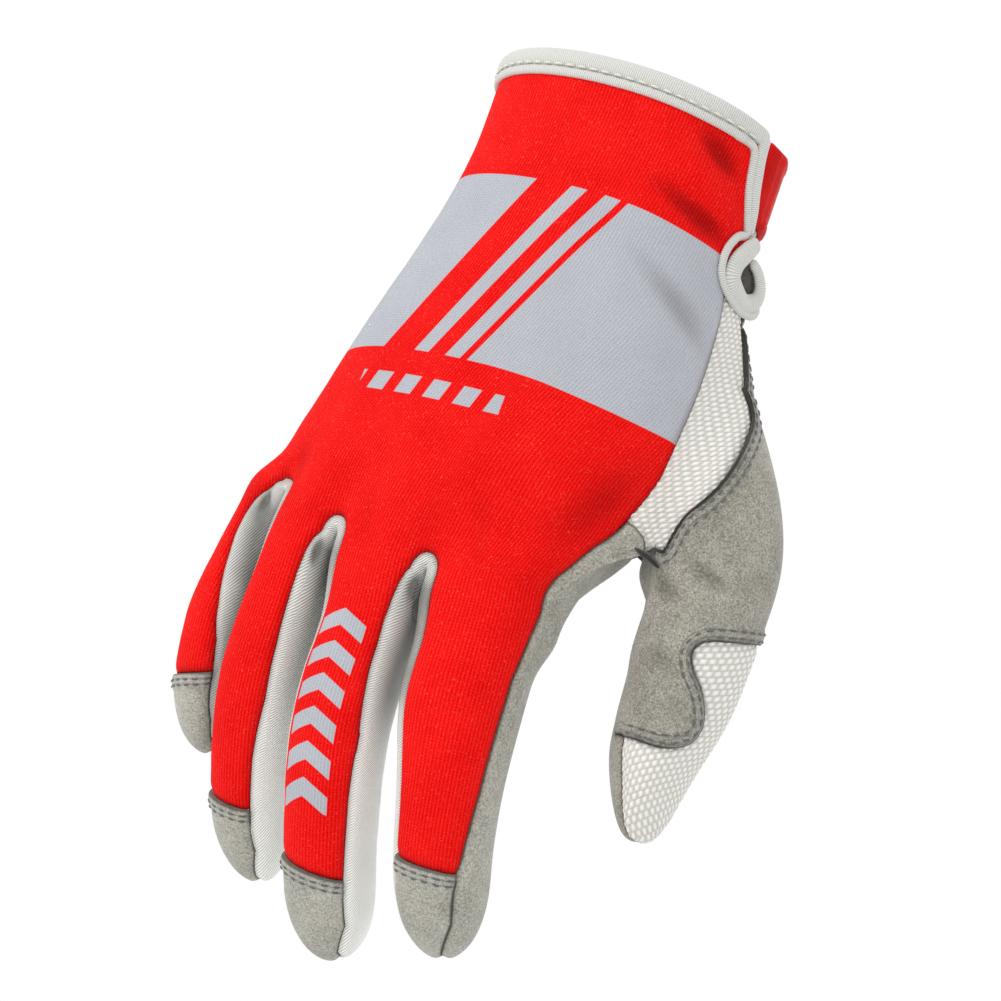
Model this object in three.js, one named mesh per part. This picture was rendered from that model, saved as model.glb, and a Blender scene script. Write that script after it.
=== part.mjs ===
import * as THREE from "three";

// A right-hand motocross glove that keeps the form of the hand, in millimetres.
// The origin is the centre of the wrist opening. +Z runs out of the cuff and the fingers hang
// toward -Z. +X is the thumb side, -Y the back of the hand and +Y the palm.

// Driving sizes
const wristWidth = 62; // across the wrist opening, outside
const wristDepth = 43; // back to palm at the wrist opening, outside
const palmLength = 105; // wrist opening to the crotch of the middle finger
const palmDepth = 30; // back to palm at the knuckles
const fingerLength = 76; // middle finger below its crotch
const fingerWidth = 20.4; // middle finger, side to side
const thumbReach = 143; // wrist opening to the tip of the thumb, along Z
const thumbWidth = 25; // across the thumb at its ball
const slitLength = 33; // wrist opening in the thumb side, down from the cuff
const knitWall = 1.4; // back panel
const suedeWall = 1.4; // palm, thumb and fingertip panels
const meshWall = 1.2; // side gusset and thumb tip
const fourchetteWall = 1.1; // side walls between the fingers
const seamGap = 0.32; // between neighbouring panels
const bindingWidth = 5; // tape over the cuff edge, seen from outside
const slitBindingWidth = 3; // tape over the slit's edge
const bindingWall = 1; // thickness of the tape
const strapWidth = 19; // wrist closure, along Z
const strapWall = 2.2; // thickness of the closure
const capLength = 21; // fingertip cap, from its seam to the tip
const tipLength = 17; // tapering end of a finger
const thumbTipLength = 24; // tapering end of the thumb

// The palm carries four fingers side by side, so it is as wide as they are.
const fingersAcross = 3.97; // sum of the four widths, in middle fingers
const knuckleWidth = fingersAcross * fingerWidth;

// Cross-sections of the hand from the wrist opening down. down: share of palmLength. centre: share
// of knuckleWidth. spread and thin: 0 is the wrist's width and depth, 1 the knuckles'. deep, arch
// and tilt: shares of palmDepth. square: 2 is an ellipse, more is boxier.
const handSections = [
  { down: 0.0, centre: 0.0, spread: 0.0, thin: 0.0, deep: 0.0, arch: 0.0, tilt: 0.0, square: 2.2 },
  { down: 0.2, centre: 0.012, spread: 0.05, thin: 0.12, deep: 0.0, arch: 0.0, tilt: 0.0, square: 2.2 },
  { down: 0.4, centre: -0.01, spread: 0.38, thin: 0.3, deep: 0.02, arch: 0.05, tilt: 0.02, square: 2.3 },
  { down: 0.6, centre: -0.055, spread: 0.75, thin: 0.6, deep: 0.03, arch: 0.1, tilt: 0.05, square: 2.3 },
  { down: 0.8, centre: -0.105, spread: 0.95, thin: 0.85, deep: 0.03, arch: 0.15, tilt: 0.09, square: 2.3 },
  { down: 1.0, centre: -0.14, spread: 1.0, thin: 1.0, deep: 0.03, arch: 0.17, tilt: 0.12, square: 2.4 },
  { down: 1.2, centre: -0.17, spread: 1.0, thin: 1.1, deep: 0.1, arch: 0.17, tilt: 0.12, square: 2.4 },
];

// Centre lines of the digits, a row for each joint. down: share of fingerLength below the palm, or
// of thumbReach on the thumb. out: share of knuckleWidth. deep: share of palmDepth.
const digits = {
  little: {
    width: 0.85, height: 0.82, taper: 0.12, twist: -24,
    joints: [
      { down: -0.45, out: -0.57, deep: 0.3 },
      { down: -0.05, out: -0.62, deep: 0.42 },
      { down: 0.22, out: -0.655, deep: 0.6 },
      { down: 0.42, out: -0.655, deep: 0.82 },
      { down: 0.555, out: -0.625, deep: 1.02 },
    ],
  },
  ring: {
    width: 0.93, height: 0.9, taper: 0.1, twist: -14,
    joints: [
      { down: -0.45, out: -0.37, deep: 0.08 },
      { down: 0.0, out: -0.42, deep: 0.18 },
      { down: 0.35, out: -0.455, deep: 0.42 },
      { down: 0.62, out: -0.44, deep: 0.8 },
      { down: 0.83, out: -0.39, deep: 1.22 },
    ],
  },
  middle: {
    width: 1.0, height: 0.95, taper: 0.08, twist: -6,
    joints: [
      { down: -0.45, out: -0.14, deep: 0.02 },
      { down: 0.0, out: -0.16, deep: 0.05 },
      { down: 0.4, out: -0.18, deep: 0.22 },
      { down: 0.72, out: -0.145, deep: 0.6 },
      { down: 0.98, out: -0.1, deep: 1.1 },
    ],
  },
  index: {
    width: 1.1, height: 1.0, taper: 0.17, twist: 4,
    joints: [
      { down: -0.45, out: 0.09, deep: 0.03 },
      { down: 0.0, out: 0.12, deep: 0.06 },
      { down: 0.38, out: 0.145, deep: 0.2 },
      { down: 0.68, out: 0.165, deep: 0.52 },
      { down: 0.9, out: 0.2, deep: 0.92 },
    ],
  },
  thumb: {
    width: 1.0, height: 0.95, taper: 0.16, twist: 35,
    joints: [
      { down: 0.1, out: 0.2, deep: 0.2 },
      { down: 0.3, out: 0.415, deep: 0.28 },
      { down: 0.47, out: 0.55, deep: 0.35 },
      { down: 0.61, out: 0.59, deep: 0.42 },
      { down: 0.76, out: 0.595, deep: 0.5 },
      { down: 0.88, out: 0.585, deep: 0.58 },
      { down: 0.99, out: 0.6, deep: 0.66 },
    ],
  },
};

// Strips that run down the hand, from the little finger's back round the thumb side to the palm.
// Each row gives the strip's columns of facets and where it starts: the angle round the hand at the
// cuff, the slit's end, the thumb's crotch and the knuckles (0 back, 90 thumb side, 180 palm), the
// angle round the thumb at the slit's end and at the crotch, and how far the strip follows the thumb.
const strips = [
  { name: "back0", columns: 4, angles: [-74, -73, -72, -70], onThumb: [0, 0], pull: 0 },
  { name: "back1", columns: 4, angles: [-36, -38, -46, -50], onThumb: [0, 0], pull: 0 },
  { name: "back2", columns: 4, angles: [0, -4, -17, -21], onThumb: [-40, -110], pull: 0 },
  { name: "back3", columns: 4, angles: [38, 32, 14, 8], onThumb: [-20, -100], pull: 0 },
  { name: "sideA", columns: 2, angles: [80, 82, 64, 54], onThumb: [22, -85], pull: 0.55 },
  { name: "sideB", columns: 2, angles: [91, 92, 76, 62], onThumb: [38, -76], pull: 0.75 },
  { name: "thumb", columns: 4, angles: [102, 102, 96, 90], onThumb: [58, -48], pull: 1 },
  { name: "ball", columns: 3, angles: [128, 124, 128, 120], onThumb: [118, 120], pull: 1 },
  { name: "palm3", columns: 4, angles: [146, 146, 146, 144], onThumb: [160, 205], pull: 0.6 },
  { name: "palm2", columns: 4, angles: [170, 170, 171, 172], onThumb: [190, 240], pull: 0 },
  { name: "palm1", columns: 4, angles: [196, 196, 197, 198], onThumb: [200, 240], pull: 0 },
  { name: "palm0", columns: 4, angles: [224, 225, 226, 227], onThumb: [200, 240], pull: 0 },
  { name: "outer", columns: 3, angles: [256, 254, 252, 250], onThumb: [200, 240], pull: 0 },
];
const webColumns = 4; // across the web between thumb and index finger
const sideColumns = 3; // across a finger's side wall
const crotchShare = 0.83; // where the thumb leaves the hand, of palmLength
const handRows = 16; // rows of facets from the cuff to the thumb's crotch
const knuckleRows = 3; // from there to the fingers' crotches
const fingerRows = 12; // down a finger, without its rounded end
const thumbRows = 7;
const tipShares = [0.3, 0.57, 0.79, 0.94]; // rows round a tip, shares of its rounded end
const slitRows = Math.round((slitLength / (palmLength * crotchShare)) * handRows);
const thumbTopRow = slitRows + 1; // where the thumb's leather starts below the slit
const fadeLength = 17; // over which a digit takes its own round section
const backEdge = 62; // half of a finger's back panel, in degrees round it
const indexEdge = 82; // its edge toward the thumb, at the root of the index finger
const palmEdge = 125; // where its palm panel starts
const crotchRise = { back: [-9, -9, -3, 0, -2], palm: 4 }; // finger crotches, millimetres below palmLength

const fingerNames = ["little", "ring", "middle", "index"];
const toRadians = Math.PI / 180;

function ramp(t) {
  const x = Math.min(1, Math.max(0, t));
  return x * x * (3 - 2 * x);
}

function mix(a, b, t) {
  return a + (b - a) * t;
}

// Sine or cosine raised so that the closed curve is a superellipse.
function powered(value, square) {
  return Math.sign(value) * Math.abs(value) ** (2 / square);
}

// A smooth value between the rows of a table, whose first column is "down".
function between(rows, down, column) {
  const last = rows.length - 1;
  let i = 0;
  while (i < last - 1 && down > rows[i + 1].down) i += 1;
  const slope = (k) => {
    const a = rows[Math.max(0, k - 1)];
    const b = rows[Math.min(last, k + 1)];
    return (b[column] - a[column]) / (b.down - a.down);
  };
  const step = rows[i + 1].down - rows[i].down;
  const t = (down - rows[i].down) / step;
  if (t < 0) return rows[i][column] + slope(i) * step * t;
  if (t > 1) return rows[i + 1][column] + slope(i + 1) * step * (t - 1);
  const t2 = t * t;
  const t3 = t2 * t;
  return (
    (2 * t3 - 3 * t2 + 1) * rows[i][column] +
    (t3 - 2 * t2 + t) * step * slope(i) +
    (3 * t2 - 2 * t3) * rows[i + 1][column] +
    (t3 - t2) * step * slope(i + 1)
  );
}

// A point on the outside of the hand, at a share of palmLength and an angle round it.
function handPoint(down, angle) {
  const at = (column) => between(handSections, down, column);
  const halfWidth = mix(wristWidth, knuckleWidth, at("spread")) / 2;
  const halfDepth = mix(wristDepth, palmDepth, at("thin")) / 2;
  const square = at("square");
  const across = powered(Math.sin(angle * toRadians), square);
  const bend = at("deep") + at("arch") * across * across - at("tilt") * across;
  return new THREE.Vector3(
    at("centre") * knuckleWidth + halfWidth * across,
    palmDepth * bend - halfDepth * powered(Math.cos(angle * toRadians), square),
    -down * palmLength,
  );
}

// A digit: its centre line, its length below the crotch and the points round it.
class Digit {
  constructor(name) {
    const row = digits[name];
    const isThumb = name === "thumb";
    this.joints = row.joints;
    this.twist = row.twist * toRadians;
    this.taper = row.taper;
    this.tipLength = isThumb ? thumbTipLength : tipLength;
    this.halfWidth = (row.width * (isThumb ? thumbWidth : fingerWidth)) / 2;
    this.halfHeight = (row.height * (isThumb ? thumbWidth : fingerWidth)) / 2;
    this.heightAt = (down) => (isThumb ? -down * thumbReach : -palmLength - down * fingerLength);
    this.downAt = (z) => (isThumb ? -z / thumbReach : (-z - palmLength) / fingerLength);
    const steps = 160;
    const first = this.joints[0].down;
    const tip = this.joints[this.joints.length - 1].down;
    this.table = [{ down: first, along: 0 }];
    for (let i = 1; i <= steps; i += 1) {
      const down = mix(first, tip, i / steps);
      const before = this.table[i - 1];
      const step = this.centre(down).distanceTo(this.centre(before.down));
      this.table.push({ down, along: before.along + step });
    }
    this.length = this.table[steps].along;
  }

  centre(down) {
    return new THREE.Vector3(
      between(this.joints, down, "out") * knuckleWidth,
      between(this.joints, down, "deep") * palmDepth,
      this.heightAt(down),
    );
  }

  // Millimetres along the centre line at a height, and the share at such a length.
  alongAt(z) {
    const down = this.downAt(z);
    const steps = this.table.length - 1;
    const first = this.table[0].down;
    const place = ((down - first) / (this.table[steps].down - first)) * steps;
    const i = Math.min(steps - 1, Math.max(0, Math.floor(place)));
    return mix(this.table[i].along, this.table[i + 1].along, place - i);
  }

  shareAt(along) {
    let i = 0;
    while (i < this.table.length - 2 && this.table[i + 1].along < along) i += 1;
    const a = this.table[i];
    const b = this.table[i + 1];
    return mix(a.down, b.down, (along - a.along) / (b.along - a.along));
  }

  // A point on the digit's skin: how far along it, and the angle round it from its back.
  point(along, angle) {
    const down = this.shareAt(along);
    const step = 0.01;
    const centre = this.centre(down);
    const heading = this.centre(down + step).sub(this.centre(down - step)).normalize();
    const side = new THREE.Vector3(1, 0, 0).addScaledVector(heading, -heading.x).normalize();
    const back = new THREE.Vector3().crossVectors(heading, side);
    const turned = angle * toRadians;
    const left = this.length - along;
    const taper = 1 - this.taper * ramp((along - this.length * 0.35) / (this.length * 0.65));
    const rounding = Math.max(0, 1 - left / this.tipLength);
    const size = taper * Math.sqrt(Math.max(0, 1 - rounding ** 2));
    const x = this.halfWidth * size * powered(Math.sin(turned), 2.2);
    const y = this.halfHeight * size * powered(Math.cos(turned), 2.2);
    const cosTwist = Math.cos(this.twist);
    const sinTwist = Math.sin(this.twist);
    return centre
      .addScaledVector(side, x * cosTwist + y * sinTwist)
      .addScaledVector(back, y * cosTwist - x * sinTwist);
  }
}

const digitOf = Object.fromEntries(Object.keys(digits).map((name) => [name, new Digit(name)]));

// The whole skin is one mesh of four-sided cells. Each cell names the panel that it belongs to.
const points = [];
const cells = [];

function addPoint(point) {
  points.push(point);
  return points.length - 1;
}

// Cells between two closed rings of points.
function addCells(upper, lower, panelOf) {
  upper.forEach((_, c) => {
    const next = (c + 1) % upper.length;
    cells.push({ ids: [upper[c], lower[c], lower[next], upper[next]], panel: panelOf(c) });
  });
}

// Columns of facets round the hand: which strip each is in, and how far across it.
const columns = [];
strips.forEach((strip, s) => {
  const next = strips[(s + 1) % strips.length];
  const turn = s === strips.length - 1 ? 360 : 0;
  for (let c = 0; c < strip.columns; c += 1) {
    const t = c / strip.columns;
    columns.push({
      strip: strip.name,
      angles: strip.angles.map((a, k) => mix(a, next.angles[k] + turn, t)),
      onThumb: strip.onThumb.map((a, k) => mix(a, next.onThumb[k], t)),
      pull: mix(strip.pull, next.pull, t),
    });
  }
});
const firstColumn = {};
columns.forEach((column, c) => {
  if (!(column.strip in firstColumn)) firstColumn[column.strip] = c;
});
const slitShare = slitLength / palmLength;

function angleAt(column, down) {
  const levels = [0, slitShare, crotchShare, 1];
  let i = 0;
  while (i < 2 && down > levels[i + 1]) i += 1;
  const t = ramp((down - levels[i]) / (levels[i + 1] - levels[i]));
  return mix(column.angles[i], column.angles[i + 1], t);
}

// The hand from the cuff to the thumb's crotch, drawn out toward the thumb.
function upperPoint(down, column) {
  const point = handPoint(down, angleAt(column, down));
  const grown = ramp((down - 0.1) / (crotchShare - 0.1));
  if (column.pull > 0) {
    const turn = mix(column.onThumb[0], column.onThumb[1], ramp((down - slitShare) / (crotchShare - slitShare)));
    const thumb = digitOf.thumb;
    point.lerp(thumb.point(thumb.alongAt(-down * palmLength), turn), column.pull * grown);
  }
  return point;
}

const upperRings = [];
for (let r = 0; r <= handRows; r += 1) {
  const down = (crotchShare * r) / handRows;
  upperRings.push(columns.map((column) => addPoint(upperPoint(down, column))));
}

function upperPanel(row, strip) {
  if (strip.startsWith("back")) return "back_panel";
  if (strip.startsWith("side")) return row < slitRows ? "slit" : "side_mesh";
  if (strip === "thumb") return row < thumbTopRow ? "palm_panel" : "thumb_shell";
  return "palm_panel";
}
for (let r = 0; r < handRows; r += 1) {
  addCells(upperRings[r], upperRings[r + 1], (c) => upperPanel(r, columns[c].strip));
}

// A line of new points between two old ones, without its ends, bowed by a vector.
function bridge(from, to, count, bow) {
  const line = [];
  for (let i = 1; i < count; i += 1) {
    const t = i / count;
    const point = points[from].clone().lerp(points[to], t);
    line.push(addPoint(point.addScaledVector(bow, 4 * t * (1 - t))));
  }
  return line;
}

// At the thumb's crotch the ring splits into the hand's and the thumb's, along the web.
const crotchRing = upperRings[handRows];
const webStart = firstColumn.sideB;
const webEnd = firstColumn.palm3;
const webBow = new THREE.Vector3(0, 0, 3);
const web = bridge(crotchRing[webStart], crotchRing[webEnd], webColumns, webBow);

// A tube of rings that starts on given points and takes its own form over fadeLength.
function growTube(startIds, stations, shapeAt, panelOf, closeTip) {
  const offsets = startIds.map((id, c) => points[id].clone().sub(shapeAt(stations[0], c)));
  const rings = [startIds];
  for (let r = 1; r < stations.length; r += 1) {
    const near = 1 - ramp((stations[r] - stations[0]) / fadeLength);
    const ring = startIds.map((_, c) => addPoint(shapeAt(stations[r], c).addScaledVector(offsets[c], near)));
    addCells(rings[r - 1], ring, (c) => panelOf(r - 1, c));
    rings.push(ring);
  }
  if (closeTip) {
    const last = rings[rings.length - 1];
    const pole = addPoint(closeTip);
    last.forEach((id, c) => {
      cells.push({ ids: [id, pole, last[(c + 1) % last.length]], panel: panelOf(stations.length - 1, c) });
    });
  }
  return rings;
}

function stationsFor(digit, start, rows) {
  const straightEnd = digit.length - digit.tipLength;
  const list = [];
  for (let r = 0; r <= rows; r += 1) list.push(mix(start, straightEnd, r / rows));
  return list.concat(tipShares.map((share) => straightEnd + share * digit.tipLength));
}

// Thumb
const thumbStrip = [];
for (let c = webStart; c <= webEnd; c += 1) thumbStrip.push(crotchRing[c]);
const thumbRing = thumbStrip.concat([...web].reverse());
const thumbAngles = thumbRing.map((_, c) => {
  if (c < thumbStrip.length) return columns[webStart + c].onThumb[1];
  const t = (c - thumbStrip.length + 1) / webColumns;
  return mix(columns[webEnd].onThumb[1], columns[webStart].onThumb[1] + 360, t);
});
const thumbStart = digitOf.thumb.alongAt(-crotchShare * palmLength);
const thumbStations = stationsFor(digitOf.thumb, thumbStart, thumbRows);
const thumbShellColumns = firstColumn.ball - webStart;
const shellEnds = [8, 8, 8, 7, 3, 2]; // rows of leather on the thumb's back, column by column
function thumbPanel(row, c) {
  if (c >= thumbShellColumns) return "thumb_pad";
  return row < shellEnds[c] ? "thumb_shell" : "thumb_tip_mesh";
}
growTube(
  thumbRing,
  thumbStations,
  (along, c) => digitOf.thumb.point(along, thumbAngles[c]),
  thumbPanel,
  digitOf.thumb.point(digitOf.thumb.length, 0),
);

// Hand below the thumb's crotch. Its columns keep the strips, with the web in the thumb's place.
const lowerColumns = [];
for (let c = 0; c < webStart; c += 1) lowerColumns.push({ ...columns[c], id: crotchRing[c] });
const webPlaces = [crotchRing[webStart], ...web];
webPlaces.forEach((id, i) => {
  const t = i / webColumns;
  const angles = columns[webStart].angles.map((a, k) => mix(a, columns[webEnd].angles[k], t));
  lowerColumns.push({ strip: "web", angles, id });
});
for (let c = webEnd; c < columns.length; c += 1) lowerColumns.push({ ...columns[c], id: crotchRing[c] });
const lowerFirst = {};
lowerColumns.forEach((column, c) => {
  if (!(column.strip in lowerFirst)) lowerFirst[column.strip] = c;
});

// Angles round the fingers, at the places of the hand's columns. A lane's edge lies on two fingers.
function fingerPlaces(c) {
  const { strip } = lowerColumns[c];
  const within = (first, count, from, to) => mix(from, to, (c - first) / count);
  const start = lowerFirst[strip];
  const lane = Number(strip.slice(4));
  if (strip.startsWith("back")) {
    const edge = lane === 3 ? indexEdge : backEdge;
    const places = [{ finger: lane, angle: within(start, 4, -backEdge, edge) }];
    if (c === start && lane > 0) places.push({ finger: lane - 1, angle: backEdge });
    return places;
  }
  if (strip.startsWith("palm")) {
    const places = [{ finger: lane, angle: within(start, 4, palmEdge, 360 - palmEdge) }];
    if (c === start && lane < 3) places.push({ finger: lane + 1, angle: 360 - palmEdge });
    return places;
  }
  if (strip === "outer") return [{ finger: 0, angle: within(start, 3, 360 - palmEdge, 360 - backEdge) }];
  const first = lowerFirst.sideA;
  return [{ finger: 3, angle: within(first, 2 + webColumns, indexEdge, palmEdge) }];
}

// How far below palmLength each column's crotch lies, from the back's edges to the palm's.
function crotchDrop(c) {
  const { strip } = lowerColumns[c];
  const lane = Number(strip.slice(4));
  const t = (c - lowerFirst[strip]) / 4;
  const { back, palm } = crotchRise;
  if (strip.startsWith("back")) return mix(back[lane], back[lane + 1], t);
  if (strip.startsWith("palm")) return palm;
  if (strip === "outer") return mix(palm, back[0], (c - lowerFirst.outer) / 3);
  return mix(back[4], palm, (c - lowerFirst.sideA) / (2 + webColumns));
}

const knuckleFollow = 0.6; // how far the hand takes the fingers' round form at their crotches
const lowerStart = lowerColumns.map((column) => column.id);
function lowerPoint(share, c) {
  const endDown = 1 + crotchDrop(c) / palmLength;
  const down = mix(crotchShare, endDown, share);
  const point = handPoint(down, angleAt(lowerColumns[c], down));
  const target = new THREE.Vector3();
  const places = fingerPlaces(c);
  places.forEach(({ finger, angle }) => {
    const digit = digitOf[fingerNames[finger]];
    target.addScaledVector(digit.point(digit.alongAt(-down * palmLength), angle), 1 / places.length);
  });
  return point.lerp(target, knuckleFollow * ramp(share));
}
const lowerRings = [lowerStart];
for (let r = 1; r <= knuckleRows; r += 1) {
  const share = r / knuckleRows;
  const near = 1 - ramp(share * 0.9);
  const ring = lowerColumns.map((column, c) => {
    const offset = points[column.id].clone().sub(lowerPoint(0, c));
    return addPoint(lowerPoint(share, c).addScaledVector(offset, near));
  });
  const panelOf = (c) => (lowerColumns[c].strip.startsWith("back") ? "back_panel" : "palm_panel");
  addCells(lowerRings[r - 1], ring, panelOf);
  lowerRings.push(ring);
}

// Fingers. Between two of them a line of points spans the crotch, and both start on it.
const knuckleRing = lowerRings[knuckleRows];
const lastLane = fingerNames.length - 1;
const crotchBow = new THREE.Vector3(0, 0, 1);
const crotchLines = [];
for (let lane = 0; lane < lastLane; lane += 1) {
  const from = knuckleRing[lowerFirst[`back${lane + 1}`]];
  const to = knuckleRing[lowerFirst[`palm${lane}`]];
  crotchLines.push(bridge(from, to, sideColumns, crotchBow));
}

function span(ring, first, count) {
  return Array.from({ length: count + 1 }, (_, i) => ring[(first + i) % ring.length]);
}

// A side of a finger is a wall between two fingers, or the outside of the hand.
function addFinger(lane) {
  const name = fingerNames[lane];
  const digit = digitOf[name];
  const back = span(knuckleRing, lowerFirst[`back${lane}`], 4);
  const palm = span(knuckleRing, lowerFirst[`palm${lane}`], 4);
  const outerRight = span(knuckleRing, lowerFirst.sideA, 2 + webColumns).slice(1, -1);
  const outerLeft = span(knuckleRing, lowerFirst.outer, 3).slice(1, -1);
  const right = lane === lastLane ? outerRight : crotchLines[lane];
  const left = lane === 0 ? outerLeft : [...crotchLines[lane - 1]].reverse();
  const ring = [...back, ...right, ...palm, ...left];
  const rightCount = right.length + 1;
  const leftCount = left.length + 1;
  const anglesWith = (edge) => {
    const angles = [];
    for (let i = 0; i <= 4; i += 1) angles.push(mix(-backEdge, edge, i / 4));
    for (let i = 1; i < rightCount; i += 1) angles.push(mix(edge, palmEdge, i / rightCount));
    for (let i = 0; i <= 4; i += 1) angles.push(mix(palmEdge, 360 - palmEdge, i / 4));
    for (let i = 1; i < leftCount; i += 1) angles.push(mix(360 - palmEdge, 360 - backEdge, i / leftCount));
    return angles;
  };
  const rootAngles = anglesWith(lane === lastLane ? indexEdge : backEdge);
  const tipAngles = anglesWith(backEdge);
  const start = digit.alongAt(-palmLength);
  const stations = stationsFor(digit, start, lane === 0 ? fingerRows - 3 : fingerRows);
  const capRow = stations.findIndex((along) => along > digit.length - capLength);
  const sideName = (between) => `fourchette_${fingerNames[between]}_${fingerNames[between + 1]}`;
  const rightPanel = lane === lastLane ? "palm_panel" : sideName(lane);
  const leftPanel = lane === 0 ? "palm_panel" : sideName(lane - 1);
  const panelOf = (row, c) => {
    if (c < 4) return row < capRow ? "back_panel" : `tip_cap_${name}`;
    if (c < 4 + rightCount) return rightPanel;
    if (c < 8 + rightCount) return "palm_panel";
    return leftPanel;
  };
  const shapeAt = (along, c) => {
    const t = (along - start) / (digit.length - start);
    return digit.point(along, mix(rootAngles[c], tipAngles[c], t));
  };
  growTube(ring, stations, shapeAt, panelOf, digit.point(digit.length, 0));
}
fingerNames.forEach((_, lane) => addFinger(lane));

// One outward direction for each point, shared by the panels that meet there.
const normals = points.map(() => new THREE.Vector3());
cells.forEach(({ ids }) => {
  const [a, b, c, d] = ids.map((id) => points[id]);
  const across = d ? new THREE.Vector3().subVectors(d, b) : new THREE.Vector3().subVectors(c, b);
  const normal = new THREE.Vector3().crossVectors(new THREE.Vector3().subVectors(c, a), across);
  ids.forEach((id) => normals[id].add(normal));
});
normals.forEach((normal) => normal.normalize());
// At a crotch the skin turns from the hand's side to the web, which faces the fingertips.
const webWay = new THREE.Vector3(0, 0, -1);
const crotchEnds = [crotchRing[webStart], crotchRing[webEnd]];
for (let lane = 0; lane < lastLane; lane += 1) {
  crotchEnds.push(knuckleRing[lowerFirst[`back${lane + 1}`]], knuckleRing[lowerFirst[`palm${lane}`]]);
}
crotchEnds.forEach((id) => {
  const facing = new THREE.Vector3(normals[id].x, normals[id].y, 0).normalize();
  normals[id].copy(facing.add(webWay).normalize());
});

// A closed solid from a sheet of cells with an outer and an inner point for each id.
function thickSheet(sheet, outer, inner) {
  const slots = new Map();
  const position = [];
  const slot = (id, side) => {
    const key = `${id} ${side}`;
    if (!slots.has(key)) {
      slots.set(key, position.length / 3);
      position.push(...(side ? inner : outer)(id).toArray());
    }
    return slots.get(key);
  };
  const triangles = [];
  const edges = new Map();
  sheet.forEach((ids) => {
    const corners = ids.map((id) => outer(id));
    const shortFirst =
      ids.length === 4 && corners[0].distanceTo(corners[2]) > corners[1].distanceTo(corners[3]);
    const order = shortFirst ? [1, 2, 3, 0] : [0, 1, 2, 3];
    const faces = ids.length === 3 ? [[0, 1, 2]] : [[order[0], order[1], order[2]], [order[0], order[2], order[3]]];
    faces.forEach(([a, b, c]) => {
      triangles.push(slot(ids[a], 0), slot(ids[b], 0), slot(ids[c], 0));
      triangles.push(slot(ids[c], 1), slot(ids[b], 1), slot(ids[a], 1));
    });
    ids.forEach((id, i) => {
      const next = ids[(i + 1) % ids.length];
      const other = `${next} ${id}`;
      if (edges.has(other)) edges.delete(other);
      else edges.set(`${id} ${next}`, [id, next]);
    });
  });
  // Two panels that share an edge split its wall along the same diagonal.
  edges.forEach(([a, b]) => {
    if (a < b) {
      triangles.push(slot(b, 0), slot(a, 0), slot(a, 1));
      triangles.push(slot(b, 0), slot(a, 1), slot(b, 1));
    } else {
      triangles.push(slot(b, 0), slot(a, 0), slot(b, 1));
      triangles.push(slot(a, 0), slot(a, 1), slot(b, 1));
    }
  });
  const geometry = new THREE.BufferGeometry();
  geometry.setAttribute("position", new THREE.Float32BufferAttribute(position, 3));
  geometry.setIndex(triangles);
  geometry.computeVertexNormals();
  return geometry;
}

const edgeShare = 0.6; // a slanting edge needs more than half of the gap
const sharpestSlant = 0.5; // at a corner of a panel
const sharpCorner = 0.7; // sum of the two directions along its edges

// A panel of the skin: its edge is drawn back by half the seam's gap, and its wall goes inward.
function panelGeometry(panel, wall) {
  const sheet = cells.filter((cell) => cell.panel === panel).map((cell) => cell.ids);
  const edges = new Map();
  const inside = new Map(); // the sum of the directions along each point's inner edges
  sheet.forEach((ids) => {
    ids.forEach((id, i) => {
      const next = ids[(i + 1) % ids.length];
      if (edges.has(`${next} ${id}`)) {
        edges.delete(`${next} ${id}`);
        const along = points[next].clone().sub(points[id]).normalize();
        inside.set(id, (inside.get(id) ?? new THREE.Vector3()).add(along));
        inside.set(next, (inside.get(next) ?? new THREE.Vector3()).sub(along));
      } else edges.set(`${id} ${next}`, { pair: [id, next], ids });
    });
  });
  const corners = new Map();
  edges.forEach(({ pair, ids }) => {
    const along = points[pair[1]].clone().sub(points[pair[0]]).normalize();
    const push = new THREE.Vector3();
    ids.forEach((id) => push.addScaledVector(points[id], 1 / ids.length));
    push.sub(points[pair[0]]);
    push.addScaledVector(along, -push.dot(along)).normalize();
    pair.forEach((id, end) => {
      const corner = corners.get(id) ?? { push: new THREE.Vector3(), turn: new THREE.Vector3(), first: push };
      corner.push.add(push);
      corner.turn.addScaledVector(along, end ? -1 : 1);
      corners.set(id, corner);
    });
  });
  const moved = new Map();
  corners.forEach(({ push, turn, first }, id) => {
    const direction = (turn.length() > sharpCorner && inside.get(id)) || push;
    direction.normalize();
    const slant = Math.max(sharpestSlant, direction.dot(first));
    moved.set(id, points[id].clone().addScaledVector(direction, (seamGap * edgeShare) / slant));
  });
  const outer = (id) => moved.get(id) ?? points[id];
  const inner = (id) => outer(id).clone().addScaledVector(normals[id], -wall);
  return thickSheet(sheet, outer, inner);
}

// A place on the skin near the cuff, between the points of its rows and columns, and off it.
function skinAt(row, column, off) {
  const r = Math.min(handRows - 1, Math.max(0, Math.floor(row)));
  const base = Math.floor(column);
  const count = columns.length;
  const spot = (list, i, c) => list[upperRings[r + i][(base + c + count) % count]];
  const blend = (list) => {
    const upper = spot(list, 0, 0).clone().lerp(spot(list, 0, 1), column - base);
    const lower = spot(list, 1, 0).clone().lerp(spot(list, 1, 1), column - base);
    return upper.lerp(lower, row - r);
  };
  return blend(points).addScaledVector(blend(normals).normalize(), off);
}

const rowHeight = (palmLength * crotchShare) / handRows;
const tapeGap = 0.45; // between a tape and the panels that it covers
const tapeInside = Math.max(knitWall, suedeWall, meshWall) + tapeGap;

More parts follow.
